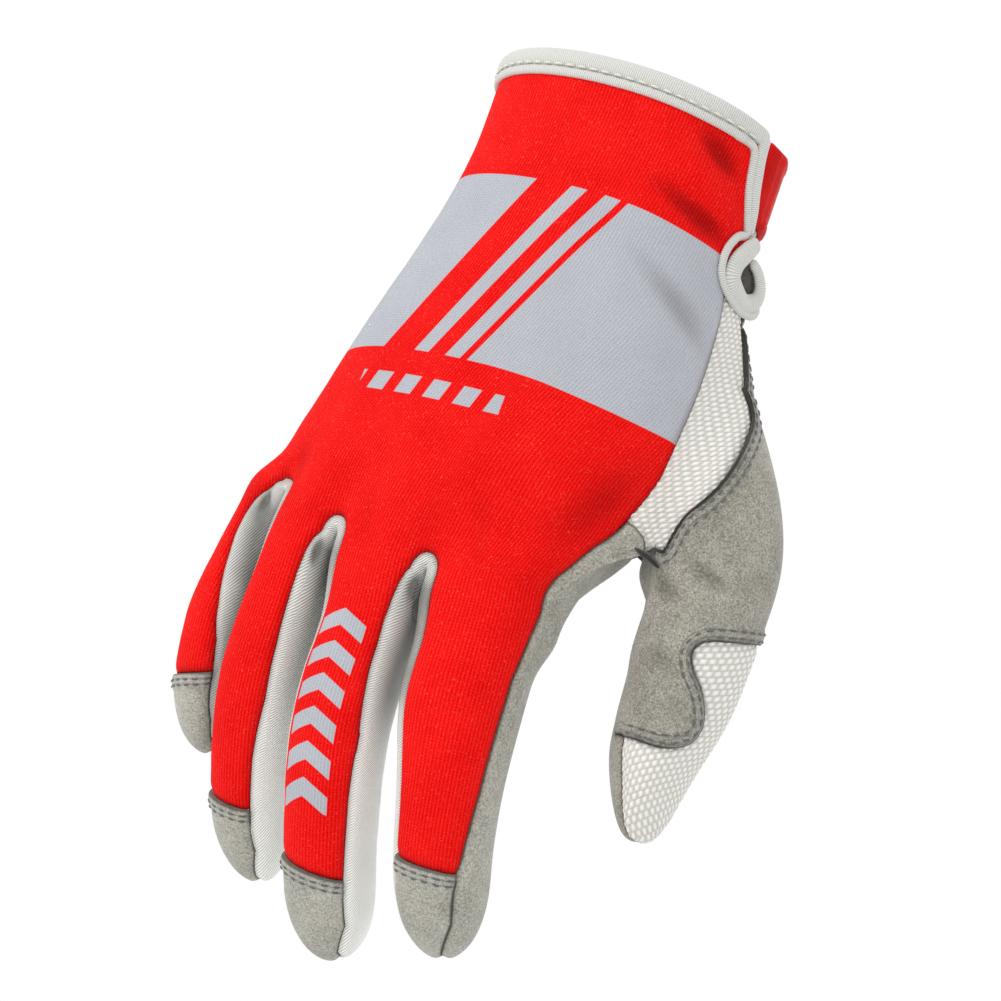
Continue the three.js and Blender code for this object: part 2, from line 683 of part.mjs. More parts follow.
// A tape folded over an edge: each station has the flap's end, the edge and the lip past it.
function tapeGeometry(stations) {
  const sheet = [];
  for (let s = 0; s < stations.length - 1; s += 1) {
    for (let k = 0; k < 3; k += 1) {
      const a = s * 4 + k;
      sheet.push([a, a + 4, a + 5, a + 1]);
    }
  }
  const outer = (id) => {
    const { flap, lip } = stations[Math.floor(id / 4)];
    const out = tapeGap + bindingWall;
    return [flap(out), lip(out, out), lip(-tapeInside - bindingWall, out), flap(-tapeInside - bindingWall)][id % 4];
  };
  const inner = (id) => {
    const { flap, lip } = stations[Math.floor(id / 4)];
    return [flap(tapeGap), lip(tapeGap, tapeGap), lip(-tapeInside, tapeGap), flap(-tapeInside)][id % 4];
  };
  return thickSheet(sheet, outer, inner);
}

// The cuff's tape runs from the slit's rear edge round the little finger's side to its front edge.
const slitFront = firstColumn.sideA;
const slitRear = firstColumn.thumb;
const cuffColumns = columns.length - (slitRear - slitFront);
const cuffStations = [];
for (let i = 0; i <= cuffColumns; i += 1) {
  const column = slitRear + i;
  cuffStations.push({
    flap: (off) => skinAt(bindingWidth / rowHeight, column, off),
    lip: (off, past) => skinAt(-past / rowHeight, column, off),
  });
}

// The slit's tape starts below the cuff's, runs down one edge, round the end and up the other.
const columnWidth = (row, column) =>
  points[upperRings[row][column]].distanceTo(points[upperRings[row][column + 1]]);
const tapeTop = (bindingWidth + seamGap) / rowHeight;
const slitStations = [];
function addSlitStation(row, column, downward, sideways) {
  const flapWidth = columnWidth(Math.round(row), sideways < 0 ? column - 1 : column);
  const lipWidth = columnWidth(Math.round(row), sideways > 0 ? column - 1 : column);
  const flapRow = row + (downward * slitBindingWidth) / rowHeight;
  const flapColumn = column + (sideways * slitBindingWidth) / flapWidth;
  slitStations.push({
    flap: (off) => skinAt(flapRow, flapColumn, off),
    lip: (off, past) => skinAt(row - (downward * past) / rowHeight, column - (sideways * past) / lipWidth, off),
  });
}
addSlitStation(tapeTop, slitFront, 0, -1);
for (let r = Math.ceil(tapeTop + 0.3); r < slitRows; r += 1) addSlitStation(r, slitFront, 0, -1);
addSlitStation(slitRows, slitFront, 1, -1);
for (let c = slitFront + 1; c < slitRear; c += 1) addSlitStation(slitRows, c, 1, 0);
addSlitStation(slitRows, slitRear, 1, 1);
for (let r = slitRows - 1; r > tapeTop + 0.3; r -= 1) addSlitStation(r, slitRear, 0, 1);
addSlitStation(tapeTop, slitRear, 0, 1);

// The closure lies over the slit and the palm side of the wrist, just below the cuff's tape.
const strapColumns = 15; // stations along the closure
const strapRows = 4;
const strapTop = (bindingWidth + 2 * seamGap) / rowHeight;
const strapStart = slitFront + (tapeGap + bindingWall + seamGap) / columnWidth(1, slitFront);
const strapEnd = firstColumn.palm2 + 2.5;
const overTape = bindingWall + tapeGap + seamGap;
function strapGeometry() {
  const sheet = [];
  for (let i = 0; i < strapColumns; i += 1) {
    for (let k = 0; k < strapRows; k += 1) {
      const a = i * (strapRows + 1) + k;
      sheet.push([a, a + 1, a + strapRows + 2, a + strapRows + 1]);
    }
  }
  const place = (id, off) => {
    const along = Math.floor(id / (strapRows + 1)) / strapColumns;
    const k = (id % (strapRows + 1)) / strapRows;
    const column = mix(strapStart, strapEnd, along);
    const narrow = 1 - 0.22 * ramp((along - 0.8) / 0.2);
    const middle = strapTop + strapWidth / rowHeight / 2;
    const row = middle + ((k - 0.5) * strapWidth * narrow) / rowHeight;
    const rise = mix(overTape, seamGap * 1.5, ramp((column - slitRear - 1) / 2));
    return skinAt(row, column, rise + off);
  };
  return thickSheet(sheet, (id) => place(id, strapWall), (id) => place(id, 0));
}

// Finishes
const finish = (color, roughness) => new THREE.MeshStandardMaterial({ color, roughness, metalness: 0 });
const redKnit = () => finish(0xdf1512, 0.85);
const greySuede = () => finish(0xa8a79e, 0.9);
const thumbSuede = () => finish(0x8f8c80, 0.9);
const paleMesh = () => finish(0xe3e2dc, 0.75);
const satin = () => finish(0xc9c9c4, 0.45);
const tape = () => finish(0xd3d3cf, 0.8);
const redRubber = () => finish(0xc91b14, 0.5);

const glove = new THREE.Group();
function addPiece(name, geometry, material) {
  const mesh = new THREE.Mesh(geometry, material);
  mesh.name = name;
  glove.add(mesh);
}

addPiece("back_panel", panelGeometry("back_panel", knitWall), redKnit());
addPiece("palm_panel", panelGeometry("palm_panel", suedeWall), greySuede());
addPiece("side_mesh", panelGeometry("side_mesh", meshWall), paleMesh());
addPiece("thumb_shell", panelGeometry("thumb_shell", suedeWall), thumbSuede());
addPiece("thumb_tip_mesh", panelGeometry("thumb_tip_mesh", meshWall), paleMesh());
addPiece("thumb_pad", panelGeometry("thumb_pad", suedeWall), greySuede());
for (let lane = 0; lane < lastLane; lane += 1) {
  const name = `fourchette_${fingerNames[lane]}_${fingerNames[lane + 1]}`;
  addPiece(name, panelGeometry(name, fourchetteWall), satin());
}
fingerNames.forEach((finger) => {
  addPiece(`tip_cap_${finger}`, panelGeometry(`tip_cap_${finger}`, suedeWall), greySuede());
});
addPiece("cuff_binding", tapeGeometry(cuffStations), tape());
addPiece("slit_binding", tapeGeometry(slitStations), tape());
addPiece("wrist_strap", strapGeometry(), redRubber());

export default glove;
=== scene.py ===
import math
import random
import bpy
import numpy as np
from mathutils import Matrix, Vector, noise
from mathutils.bvhtree import BVHTree
from mathutils.kdtree import KDTree


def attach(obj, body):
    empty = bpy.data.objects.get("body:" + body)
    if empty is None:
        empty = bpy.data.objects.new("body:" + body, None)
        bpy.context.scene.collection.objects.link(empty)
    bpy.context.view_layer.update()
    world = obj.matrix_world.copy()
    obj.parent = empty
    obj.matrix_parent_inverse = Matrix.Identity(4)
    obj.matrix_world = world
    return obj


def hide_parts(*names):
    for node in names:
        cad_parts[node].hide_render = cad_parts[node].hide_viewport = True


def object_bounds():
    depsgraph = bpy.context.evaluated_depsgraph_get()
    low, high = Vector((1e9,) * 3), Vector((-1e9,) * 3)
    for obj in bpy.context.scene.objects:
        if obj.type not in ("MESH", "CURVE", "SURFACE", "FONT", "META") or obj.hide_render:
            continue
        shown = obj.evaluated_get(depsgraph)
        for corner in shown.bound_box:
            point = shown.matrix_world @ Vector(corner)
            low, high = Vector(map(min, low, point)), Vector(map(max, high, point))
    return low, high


# A right-hand motocross glove that keeps the form of the hand. Forms are worked out in
# millimetres, in the part's frame, and turned into metres when an object is made.
# +Z runs out of the cuff, +X is the thumb side and -Y the back of the hand.

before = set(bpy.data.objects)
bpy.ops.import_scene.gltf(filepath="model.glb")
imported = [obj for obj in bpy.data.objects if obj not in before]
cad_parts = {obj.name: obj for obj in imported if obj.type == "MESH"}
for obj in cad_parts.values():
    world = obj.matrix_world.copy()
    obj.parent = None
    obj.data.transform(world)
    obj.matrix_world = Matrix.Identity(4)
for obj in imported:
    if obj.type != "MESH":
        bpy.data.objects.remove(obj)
cadLow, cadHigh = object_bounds()
millimetre = 0.001
print("frame loaded")

# The form of the hand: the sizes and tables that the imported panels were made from, in
# millimetres, degrees and shares
hand = {
    "wristWidth": 62,
    "wristDepth": 43,
    "palmLength": 105,
    "palmDepth": 30,
    "fingerLength": 76,
    "fingerWidth": 20.4,
    "fingersAcross": 3.97,
    "thumbReach": 143,
    "thumbWidth": 25,
    "slitLength": 33,
    "tipLength": 17,
    "thumbTipLength": 24,
    "capLength": 21,
    "crotchShare": 0.83,  # where the thumb leaves the hand, of palmLength
    "handRows": 16,
    "knuckleRows": 3,
    "fingerRows": 12,
    "thumbRows": 7,
    "webColumns": 4,
    "sideColumns": 3,
    "tipShares": [0.3, 0.57, 0.79, 0.94],
    "fadeLength": 17,
    "backEdge": 62,  # round a finger, where its back ends
    "indexEdge": 82,
    "palmEdge": 125,
    "crotchBack": [-9, -9, -3, 0, -2],  # below the knuckles' line
    "crotchPalm": 4,
    "webBow": 3,
    "crotchBow": 1,
    "knuckleFollow": 0.6,
    "shellEnds": [8, 8, 8, 7, 3, 2],  # rows of the thumb's shell, by column
    "lineSteps": 161,  # along a digit's middle line
}
knuckleWidth = hand["fingersAcross"] * hand["fingerWidth"]


# Rows of a short table, each with its columns by name
def table(columns, rows):
    return [dict(zip(columns.split(), row)) for row in rows]


handSections = table("down centre spread thin deep arch tilt square", [
    (0.0, 0.0, 0.0, 0.0, 0.0, 0.0, 0.0, 2.2),
    (0.2, 0.012, 0.05, 0.12, 0.0, 0.0, 0.0, 2.2),
    (0.4, -0.01, 0.38, 0.3, 0.02, 0.05, 0.02, 2.3),
    (0.6, -0.055, 0.75, 0.6, 0.03, 0.1, 0.05, 2.3),
    (0.8, -0.105, 0.95, 0.85, 0.03, 0.15, 0.09, 2.3),
    (1.0, -0.14, 1.0, 1.0, 0.03, 0.17, 0.12, 2.4),
    (1.2, -0.17, 1.0, 1.1, 0.1, 0.17, 0.12, 2.4),
])

digitRows = {
    "little": dict(width=0.85, height=0.82, taper=0.12, twist=-24, joints=table("down out deep", [
        (-0.45, -0.57, 0.3), (-0.05, -0.62, 0.42), (0.22, -0.655, 0.6), (0.42, -0.655, 0.82),
        (0.555, -0.625, 1.02)])),
    "ring": dict(width=0.93, height=0.9, taper=0.1, twist=-14, joints=table("down out deep", [
        (-0.45, -0.37, 0.08), (0.0, -0.42, 0.18), (0.35, -0.455, 0.42), (0.62, -0.44, 0.8),
        (0.83, -0.39, 1.22)])),
    "middle": dict(width=1.0, height=0.95, taper=0.08, twist=-6, joints=table("down out deep", [
        (-0.45, -0.14, 0.02), (0.0, -0.16, 0.05), (0.4, -0.18, 0.22), (0.72, -0.145, 0.6),
        (0.98, -0.1, 1.1)])),
    "index": dict(width=1.1, height=1.0, taper=0.17, twist=4, joints=table("down out deep", [
        (-0.45, 0.09, 0.03), (0.0, 0.12, 0.06), (0.38, 0.145, 0.2), (0.68, 0.165, 0.52),
        (0.9, 0.2, 0.92)])),
    "thumb": dict(width=1.0, height=0.95, taper=0.16, twist=35, joints=table("down out deep", [
        (0.1, 0.2, 0.2), (0.3, 0.415, 0.28), (0.47, 0.55, 0.35), (0.61, 0.59, 0.42),
        (0.76, 0.595, 0.5), (0.88, 0.585, 0.58), (0.99, 0.6, 0.66)])),
}

# Strips round the hand: angles at the cuff, the slit's end, the thumb's crotch and the knuckles,
# angles round the thumb at the slit's end and its crotch, and how far the strip follows the thumb
strips = table("name columns angles onThumb pull", [
    ("back0", 4, (-74, -73, -72, -70), (0, 0), 0),
    ("back1", 4, (-36, -38, -46, -50), (0, 0), 0),
    ("back2", 4, (0, -4, -17, -21), (-40, -110), 0),
    ("back3", 4, (38, 32, 14, 8), (-20, -100), 0),
    ("sideA", 2, (80, 82, 64, 54), (22, -85), 0.55),
    ("sideB", 2, (91, 92, 76, 62), (38, -76), 0.75),
    ("thumb", 4, (102, 102, 96, 90), (58, -48), 1),
    ("ball", 3, (128, 124, 128, 120), (118, 120), 1),
    ("palm3", 4, (146, 146, 146, 144), (160, 205), 0.6),
    ("palm2", 4, (170, 170, 171, 172), (190, 240), 0),
    ("palm1", 4, (196, 196, 197, 198), (200, 240), 0),
    ("palm0", 4, (224, 225, 226, 227), (200, 240), 0),
    ("outer", 3, (256, 254, 252, 250), (200, 240), 0),
])
fingerNames = ["little", "ring", "middle", "index"]
slitShare = hand["slitLength"] / hand["palmLength"]
slitRows = round(slitShare / hand["crotchShare"] * hand["handRows"])
thumbTopRow = slitRows + 1


def clampUnit(t):
    return min(1.0, max(0.0, t))


def ramp(t):
    x = clampUnit(t)
    return x * x * (3 - 2 * x)


def mix(a, b, t):
    return a + (b - a) * t


def powered(value, square):
    return math.copysign(abs(value) ** (2 / square), value)


def unit(vector):
    return vector / max(1e-9, np.linalg.norm(vector))


def lengthsAlong(line):
    return np.concatenate([[0], np.cumsum(np.linalg.norm(np.diff(line, axis=0), axis=1))])


# A smooth value between the rows of a table, whose first column is "down"
def between(rows, down, column):
    last = len(rows) - 1
    i = 0
    while i < last - 1 and down > rows[i + 1]["down"]:
        i += 1

    def slope(k):
        a, b = rows[max(0, k - 1)], rows[min(last, k + 1)]
        return (b[column] - a[column]) / (b["down"] - a["down"])

    step = rows[i + 1]["down"] - rows[i]["down"]
    t = (down - rows[i]["down"]) / step
    if t < 0:
        return rows[i][column] + slope(i) * step * t
    if t > 1:
        return rows[i + 1][column] + slope(i + 1) * step * (t - 1)
    t2, t3 = t * t, t * t * t
    start = (2 * t3 - 3 * t2 + 1) * rows[i][column] + (t3 - 2 * t2 + t) * step * slope(i)
    return start + (3 * t2 - 2 * t3) * rows[i + 1][column] + (t3 - t2) * step * slope(i + 1)


def handPoint(down, angle):
    def at(column):
        return between(handSections, down, column)

    halfWidth = mix(hand["wristWidth"], knuckleWidth, at("spread")) / 2
    halfDepth = mix(hand["wristDepth"], hand["palmDepth"], at("thin")) / 2
    turned = math.radians(angle)
    across = powered(math.sin(turned), at("square"))
    bend = at("deep") + at("arch") * across * across - at("tilt") * across
    return np.array([
        at("centre") * knuckleWidth + halfWidth * across,
        hand["palmDepth"] * bend - halfDepth * powered(math.cos(turned), at("square")),
        -down * hand["palmLength"],
    ])


class Digit:
    def __init__(self, name):
        row = digitRows[name]
        self.isThumb = name == "thumb"
        self.joints = row["joints"]
        self.twist = math.radians(row["twist"])
        self.taper = row["taper"]
        self.tipLength = hand["thumbTipLength"] if self.isThumb else hand["tipLength"]
        size = hand["thumbWidth"] if self.isThumb else hand["fingerWidth"]
        self.halfWidth = row["width"] * size / 2
        self.halfHeight = row["height"] * size / 2
        self.downs = np.linspace(self.joints[0]["down"], self.joints[-1]["down"], hand["lineSteps"])
        self.alongs = lengthsAlong(np.array([self.centre(down) for down in self.downs]))
        self.length = self.alongs[-1]

    def centre(self, down):
        height = -down * hand["thumbReach"]
        if not self.isThumb:
            height = -hand["palmLength"] - down * hand["fingerLength"]
        out = between(self.joints, down, "out") * knuckleWidth
        return np.array([out, between(self.joints, down, "deep") * hand["palmDepth"], height])

    def alongAt(self, z):
        down = (-z - hand["palmLength"]) / hand["fingerLength"]
        return self.readTable(self.downs, self.alongs, -z / hand["thumbReach"] if self.isThumb else down)

    def readTable(self, source, values, at):
        i = int(np.clip(np.searchsorted(source, at) - 1, 0, len(source) - 2))
        return mix(values[i], values[i + 1], (at - source[i]) / (source[i + 1] - source[i]))

    # A point on the skin: how far along the digit, and the angle round it from its back
    def point(self, along, angle):
        down = self.readTable(self.alongs, self.downs, along)
        centre = self.centre(down)
        heading = unit(self.centre(down + 0.01) - self.centre(down - 0.01))
        side = unit(np.array([1.0, 0, 0]) - heading * heading[0])
        back = np.cross(heading, side)
        turned = math.radians(angle)
        taper = 1 - self.taper * ramp((along - self.length * 0.35) / (self.length * 0.65))
        rounding = max(0, 1 - (self.length - along) / self.tipLength)
        size = taper * math.sqrt(max(0, 1 - rounding ** 2))
        x = self.halfWidth * size * powered(math.sin(turned), 2.2)
        y = self.halfHeight * size * powered(math.cos(turned), 2.2)
        cosTwist, sinTwist = math.cos(self.twist), math.sin(self.twist)
        return centre + side * (x * cosTwist + y * sinTwist) + back * (y * cosTwist - x * sinTwist)


digitOf = {name: Digit(name) for name in digitRows}

# The skin's cage: points, and four-sided cells that know their panel and their place on the cloth
points = []
cells = []


def addPoint(point):
    points.append(np.array(point, float))
    return len(points) - 1


# Cloth coordinates round a ring, in millimetres: along it from one column, and down from the cuff
def ringPlaces(ring, reference, start=0.0, height=None):
    closed = np.array([points[i] for i in ring + ring[:1]])
    along = lengthsAlong(closed)
    along += start - along[reference]
    heights = -closed[:, 2] if height is None else np.full(len(closed), height)
    return np.stack([along, heights], 1)


def addCells(upper, lower, placesUp, placesDown, panelOf, wrapFrom=999):
    for c in range(len(upper)):
        n = (c + 1) % len(upper)
        up, down = placesUp[c:c + 2], placesDown[c:c + 2]
        if c >= wrapFrom:  # on from the first column's other side
            up, down = up - (placesUp[-1] - placesUp[0]), down - (placesDown[-1] - placesDown[0])
        corners = (up[0], down[0], down[1], up[1])
        cells.append(((upper[c], lower[c], lower[n], upper[n]), panelOf(c), corners))


columns = []
for s, strip in enumerate(strips):
    after = strips[(s + 1) % len(strips)]
    turn = 360 if s == len(strips) - 1 else 0
    for c in range(strip["columns"]):
        t = c / strip["columns"]
        columns.append({
            "strip": strip["name"],
            "angles": [mix(a, b + turn, t) for a, b in zip(strip["angles"], after["angles"])],
            "onThumb": [mix(a, b, t) for a, b in zip(strip["onThumb"], after["onThumb"])],
            "pull": mix(strip["pull"], after["pull"], t),
        })


def firstOf(items):
    found = {}
    for i, item in enumerate(items):
        found.setdefault(item["strip"], i)
    return found


firstColumn = firstOf(columns)
backMiddle = firstColumn["back2"]


def angleAt(column, down):
    levels = [0, slitShare, hand["crotchShare"], 1]
    i = 0
    while i < 2 and down > levels[i + 1]:
        i += 1
    t = ramp((down - levels[i]) / (levels[i + 1] - levels[i]))
    return mix(column["angles"][i], column["angles"][i + 1], t)


def upperPoint(down, column):
    point = handPoint(down, angleAt(column, down))
    crotch = hand["crotchShare"]
    if column["pull"] > 0:
        turn = mix(*column["onThumb"], ramp((down - slitShare) / (crotch - slitShare)))
        thumb = digitOf["thumb"]
        target = thumb.point(thumb.alongAt(-down * hand["palmLength"]), turn)
        point = mix(point, target, column["pull"] * ramp((down - 0.1) / (crotch - 0.1)))
    return point


def upperPanel(row, strip):
    if strip.startswith("back"):
        return "back_panel"
    if strip.startswith("side"):
        return "slit" if row < slitRows else "side_mesh"
    if strip == "thumb":
        return "palm_panel" if row < thumbTopRow else "thumb_shell"
    return "palm_panel"


upperRings = []
for r in range(hand["handRows"] + 1):
    share = hand["crotchShare"] * r / hand["handRows"]
    upperRings.append([addPoint(upperPoint(share, column)) for column in columns])
for r in range(hand["handRows"]):
    addCells(
        upperRings[r], upperRings[r + 1],
        ringPlaces(upperRings[r], backMiddle), ringPlaces(upperRings[r + 1], backMiddle),
        lambda c: upperPanel(r, columns[c]["strip"]),
    )


# New points between two old ones, without its ends, bowed upward
def bridge(start, end, count, bow):
    line = []
    for i in range(1, count):
        t = i / count
        point = mix(points[start], points[end], t)
        point[2] += bow * 4 * t * (1 - t)
        line.append(addPoint(point))
    return line


crotchRing = upperRings[hand["handRows"]]
webStart, webEnd = firstColumn["sideB"], firstColumn["palm3"]
webColumns, sideColumns = hand["webColumns"], hand["sideColumns"]
web = bridge(crotchRing[webStart], crotchRing[webEnd], webColumns, hand["webBow"])


# A tube of rings that starts on given points and takes its own form over fadeLength
def growTube(startRing, stations, shapeAt, panelOf, tip, reference, start, base, wrapFrom=999):
    offsets = [points[i] - shapeAt(stations[0], c) for c, i in enumerate(startRing)]
    ring, places = startRing, ringPlaces(startRing, reference, start)
    for r in range(1, len(stations)):
        near = 1 - ramp((stations[r] - stations[0]) / hand["fadeLength"])
        lower = [addPoint(shapeAt(stations[r], c) + offsets[c] * near) for c in range(len(startRing))]
        below = ringPlaces(lower, reference, start, base + stations[r] - stations[0])
        addCells(ring, lower, places, below, lambda c: panelOf(r - 1, c), wrapFrom)
        ring, places = lower, below
    pole = addPoint(tip)
    poleDown = places[0][1] + 2
    for c, i in enumerate(ring):
        middle = np.array([(places[c][0] + places[c + 1][0]) / 2, poleDown])
        corners = (places[c], middle, places[c + 1])
        cells.append(((i, pole, ring[(c + 1) % len(ring)]), panelOf(len(stations) - 1, c), corners))


def stationsFor(digit, start, rows):
    straightEnd = digit.length - digit.tipLength
    body = [mix(start, straightEnd, r / rows) for r in range(rows + 1)]
    return body + [straightEnd + share * digit.tipLength for share in hand["tipShares"]]


# Thumb
thumb = digitOf["thumb"]
thumbStrip = crotchRing[webStart:webEnd + 1]
thumbRing = thumbStrip + web[::-1]
thumbAngles = [columns[webStart + c]["onThumb"][1] for c in range(len(thumbStrip))]
for i in range(1, webColumns):
    lastAngle, firstAngle = columns[webEnd]["onThumb"][1], columns[webStart]["onThumb"][1]
    thumbAngles.append(mix(lastAngle, firstAngle + 360, i / webColumns))
thumbStart = thumb.alongAt(-hand["crotchShare"] * hand["palmLength"])
thumbShellColumns = firstColumn["ball"] - webStart


def thumbPanel(row, c):
    if c >= thumbShellColumns:
        return "thumb_pad"
    return "thumb_shell" if row < hand["shellEnds"][c] else "thumb_tip_mesh"


growTube(
    thumbRing, stationsFor(thumb, thumbStart, hand["thumbRows"]),
    lambda along, c: thumb.point(along, thumbAngles[c]), thumbPanel,
    thumb.point(thumb.length, 0), 0, 0.0, hand["crotchShare"] * hand["palmLength"], len(thumbStrip),
)

# Hand below the thumb's crotch, with the web in the thumb's place
lowerColumns = [dict(columns[c], id=crotchRing[c]) for c in range(webStart)]
for i, pointId in enumerate([crotchRing[webStart]] + web):
    t = i / webColumns
    pair = zip(columns[webStart]["angles"], columns[webEnd]["angles"])
    lowerColumns.append({"strip": "web", "angles": [mix(a, b, t) for a, b in pair], "id": pointId})
lowerColumns += [dict(columns[c], id=crotchRing[c]) for c in range(webEnd, len(columns))]
lowerFirst = firstOf(lowerColumns)
sideCount = 2 + webColumns  # columns on the index finger's side


# The finger angles at the place of a column: a lane's edge lies on two fingers
def fingerPlaces(c):
    strip = lowerColumns[c]["strip"]
    start = lowerFirst[strip]
    backEdge, palmEdge = hand["backEdge"], hand["palmEdge"]
    if strip.startswith("back"):
        lane = int(strip[4:])
        edge = hand["indexEdge"] if lane == 3 else backEdge
        places = [(lane, mix(-backEdge, edge, (c - start) / 4))]
        return places + ([(lane - 1, backEdge)] if c == start and lane > 0 else [])
    if strip.startswith("palm"):
        lane = int(strip[4:])
        places = [(lane, mix(palmEdge, 360 - palmEdge, (c - start) / 4))]
        return places + ([(lane + 1, 360 - palmEdge)] if c == start and lane < 3 else [])
    if strip == "outer":
        return [(0, mix(360 - palmEdge, 360 - backEdge, (c - start) / 3))]
    return [(3, mix(hand["indexEdge"], palmEdge, (c - lowerFirst["sideA"]) / sideCount))]


def crotchDrop(c):
    strip = lowerColumns[c]["strip"]
    back, palm = hand["crotchBack"], hand["crotchPalm"]
    if strip.startswith("back"):
        lane = int(strip[4:])
        return mix(back[lane], back[lane + 1], (c - lowerFirst[strip]) / 4)
    if strip.startswith("palm"):
        return palm
    if strip == "outer":
        return mix(palm, back[0], (c - lowerFirst["outer"]) / 3)
    return mix(back[4], palm, (c - lowerFirst["sideA"]) / sideCount)


def lowerPoint(share, c):
    endDown = 1 + crotchDrop(c) / hand["palmLength"]
    down = mix(hand["crotchShare"], endDown, share)
    point = handPoint(down, angleAt(lowerColumns[c], down))
    target = np.zeros(3)
    places = fingerPlaces(c)
    for lane, angle in places:
        digit = digitOf[fingerNames[lane]]
        target += digit.point(digit.alongAt(-down * hand["palmLength"]), angle) / len(places)
    return mix(point, target, hand["knuckleFollow"] * ramp(share))


lowerRings = [[column["id"] for column in lowerColumns]]
lowerOffsets = [points[column["id"]] - lowerPoint(0, c) for c, column in enumerate(lowerColumns)]
for r in range(1, hand["knuckleRows"] + 1):
    share = r / hand["knuckleRows"]
    near = 1 - ramp(share * 0.9)
    ring = [addPoint(lowerPoint(share, c) + lowerOffsets[c] * near) for c in range(len(lowerColumns))]
    addCells(
        lowerRings[-1], ring,
        ringPlaces(lowerRings[-1], backMiddle), ringPlaces(ring, backMiddle),
        lambda c: "back_panel" if lowerColumns[c]["strip"].startswith("back") else "palm_panel",
    )
    lowerRings.append(ring)
knuckleRing = lowerRings[-1]
knucklePlaces = ringPlaces(knuckleRing, backMiddle)
lastLane = len(fingerNames) - 1
crotchLines = []
for lane in range(lastLane):
    start = knuckleRing[lowerFirst[f"back{lane + 1}"]]
    end = knuckleRing[lowerFirst[f"palm{lane}"]]
    crotchLines.append(bridge(start, end, sideColumns, hand["crotchBow"]))


def span(ring, first, count):
    return [ring[(first + i) % len(ring)] for i in range(count + 1)]


def sideName(lane):
    return f"fourchette_{fingerNames[lane]}_{fingerNames[lane + 1]}"


def addFinger(lane):
    name = fingerNames[lane]
    digit = digitOf[name]
    backEdge, palmEdge = hand["backEdge"], hand["palmEdge"]
    back = span(knuckleRing, lowerFirst[f"back{lane}"], 4)
    palm = span(knuckleRing, lowerFirst[f"palm{lane}"], 4)
    outerRight = span(knuckleRing, lowerFirst["sideA"], sideCount)[1:-1]
    outerLeft = span(knuckleRing, lowerFirst["outer"], 3)[1:-1]
    right = outerRight if lane == lastLane else crotchLines[lane]
    left = outerLeft if lane == 0 else crotchLines[lane - 1][::-1]
    rightCount, leftCount = len(right) + 1, len(left) + 1

    def anglesWith(edge):
        angles = [mix(-backEdge, edge, i / 4) for i in range(5)]
        angles += [mix(edge, palmEdge, i / rightCount) for i in range(1, rightCount)]
        angles += [mix(palmEdge, 360 - palmEdge, i / 4) for i in range(5)]
        return angles + [mix(360 - palmEdge, 360 - backEdge, i / leftCount) for i in range(1, leftCount)]

    rootAngles = anglesWith(hand["indexEdge"] if lane == lastLane else backEdge)
    tipAngles = anglesWith(backEdge)
    start = digit.alongAt(-hand["palmLength"])
    stations = stationsFor(digit, start, hand["fingerRows"] - (3 if lane == 0 else 0))
    capRow = next(i for i, along in enumerate(stations) if along > digit.length - hand["capLength"])
    rightPanel = "palm_panel" if lane == lastLane else sideName(lane)
    leftPanel = "palm_panel" if lane == 0 else sideName(lane - 1)

    def panelOf(row, c):
        if c < 4:
            return "back_panel" if row < capRow else f"tip_cap_{name}"
        if c < 4 + rightCount:
            return rightPanel
        return "palm_panel" if c < 8 + rightCount else leftPanel

    def shapeAt(along, c):
        t = (along - start) / (digit.length - start)
        return digit.point(along, mix(rootAngles[c], tipAngles[c], t))

    middleColumn = lowerFirst[f"back{lane}"] + 2
    growTube(
        back + right + palm + left, stations, shapeAt, panelOf, digit.point(digit.length, 0),
        2, knucklePlaces[middleColumn][0], hand["palmLength"], 8 + rightCount,
    )


for lane in range(lastLane + 1):
    addFinger(lane)
points = np.array(points)
print("cage made:", len(points), "points,", len(cells), "cells")

# The fine skin: a smooth surface through the cage's points
skin = {"levels": 3, "fitRounds": 3, "largePanel": 190000, "insideShare": 0.8}
panelNames = sorted({panel for _, panel, _ in cells})


def addObject(name, data):
    made = bpy.data.objects.new(name, data)
    bpy.context.scene.collection.objects.link(made)
    return made


def smoothed(cagePoints, levels):
    mesh = bpy.data.meshes.new("cage")
    mesh.from_pydata([tuple(p) for p in cagePoints], [], [ids for ids, _, _ in cells])
    mesh.polygons.foreach_set("material_index", [panelNames.index(panel) for _, panel, _ in cells])
    for name in panelNames:
        mesh.materials.append(None)
    layer = mesh.uv_layers.new(name="cloth")
    layer.data.foreach_set("uv", np.concatenate([np.array(places) for _, _, places in cells]).ravel())
    cage = addObject("cage", mesh)
    modifier = cage.modifiers.new("smooth", "SUBSURF")
    modifier.levels = levels
    modifier.boundary_smooth = "PRESERVE_CORNERS"
    made = cage.evaluated_get(bpy.context.evaluated_depsgraph_get()).to_mesh()

    def read(items, field, width, shape, kind=float):
        values = np.empty(len(items) * width, kind)
        items.foreach_get(field, values)
        return values.reshape(shape)

    found = {
        "points": read(made.vertices, "co", 3, (-1, 3)),
        "quads": read(made.loops, "vertex_index", 1, (-1, 4), int),
        "panels": read(made.polygons, "material_index", 1, (-1,), int),
        "places": read(made.uv_layers[0].data, "uv", 2, (-1, 4, 2)),
    }
    bpy.data.objects.remove(cage)
    bpy.data.meshes.remove(mesh)
    return found


fitted = points.copy()
for _ in range(skin["fitRounds"]):
    fitted += points - smoothed(fitted, 1)["points"][:len(points)]
fine = smoothed(fitted, skin["levels"])
print("skin made:", len(fine["quads"]), "cells, off by",
      round(float(np.abs(fine["points"][:len(points)] - points).max()), 3), "mm at most")


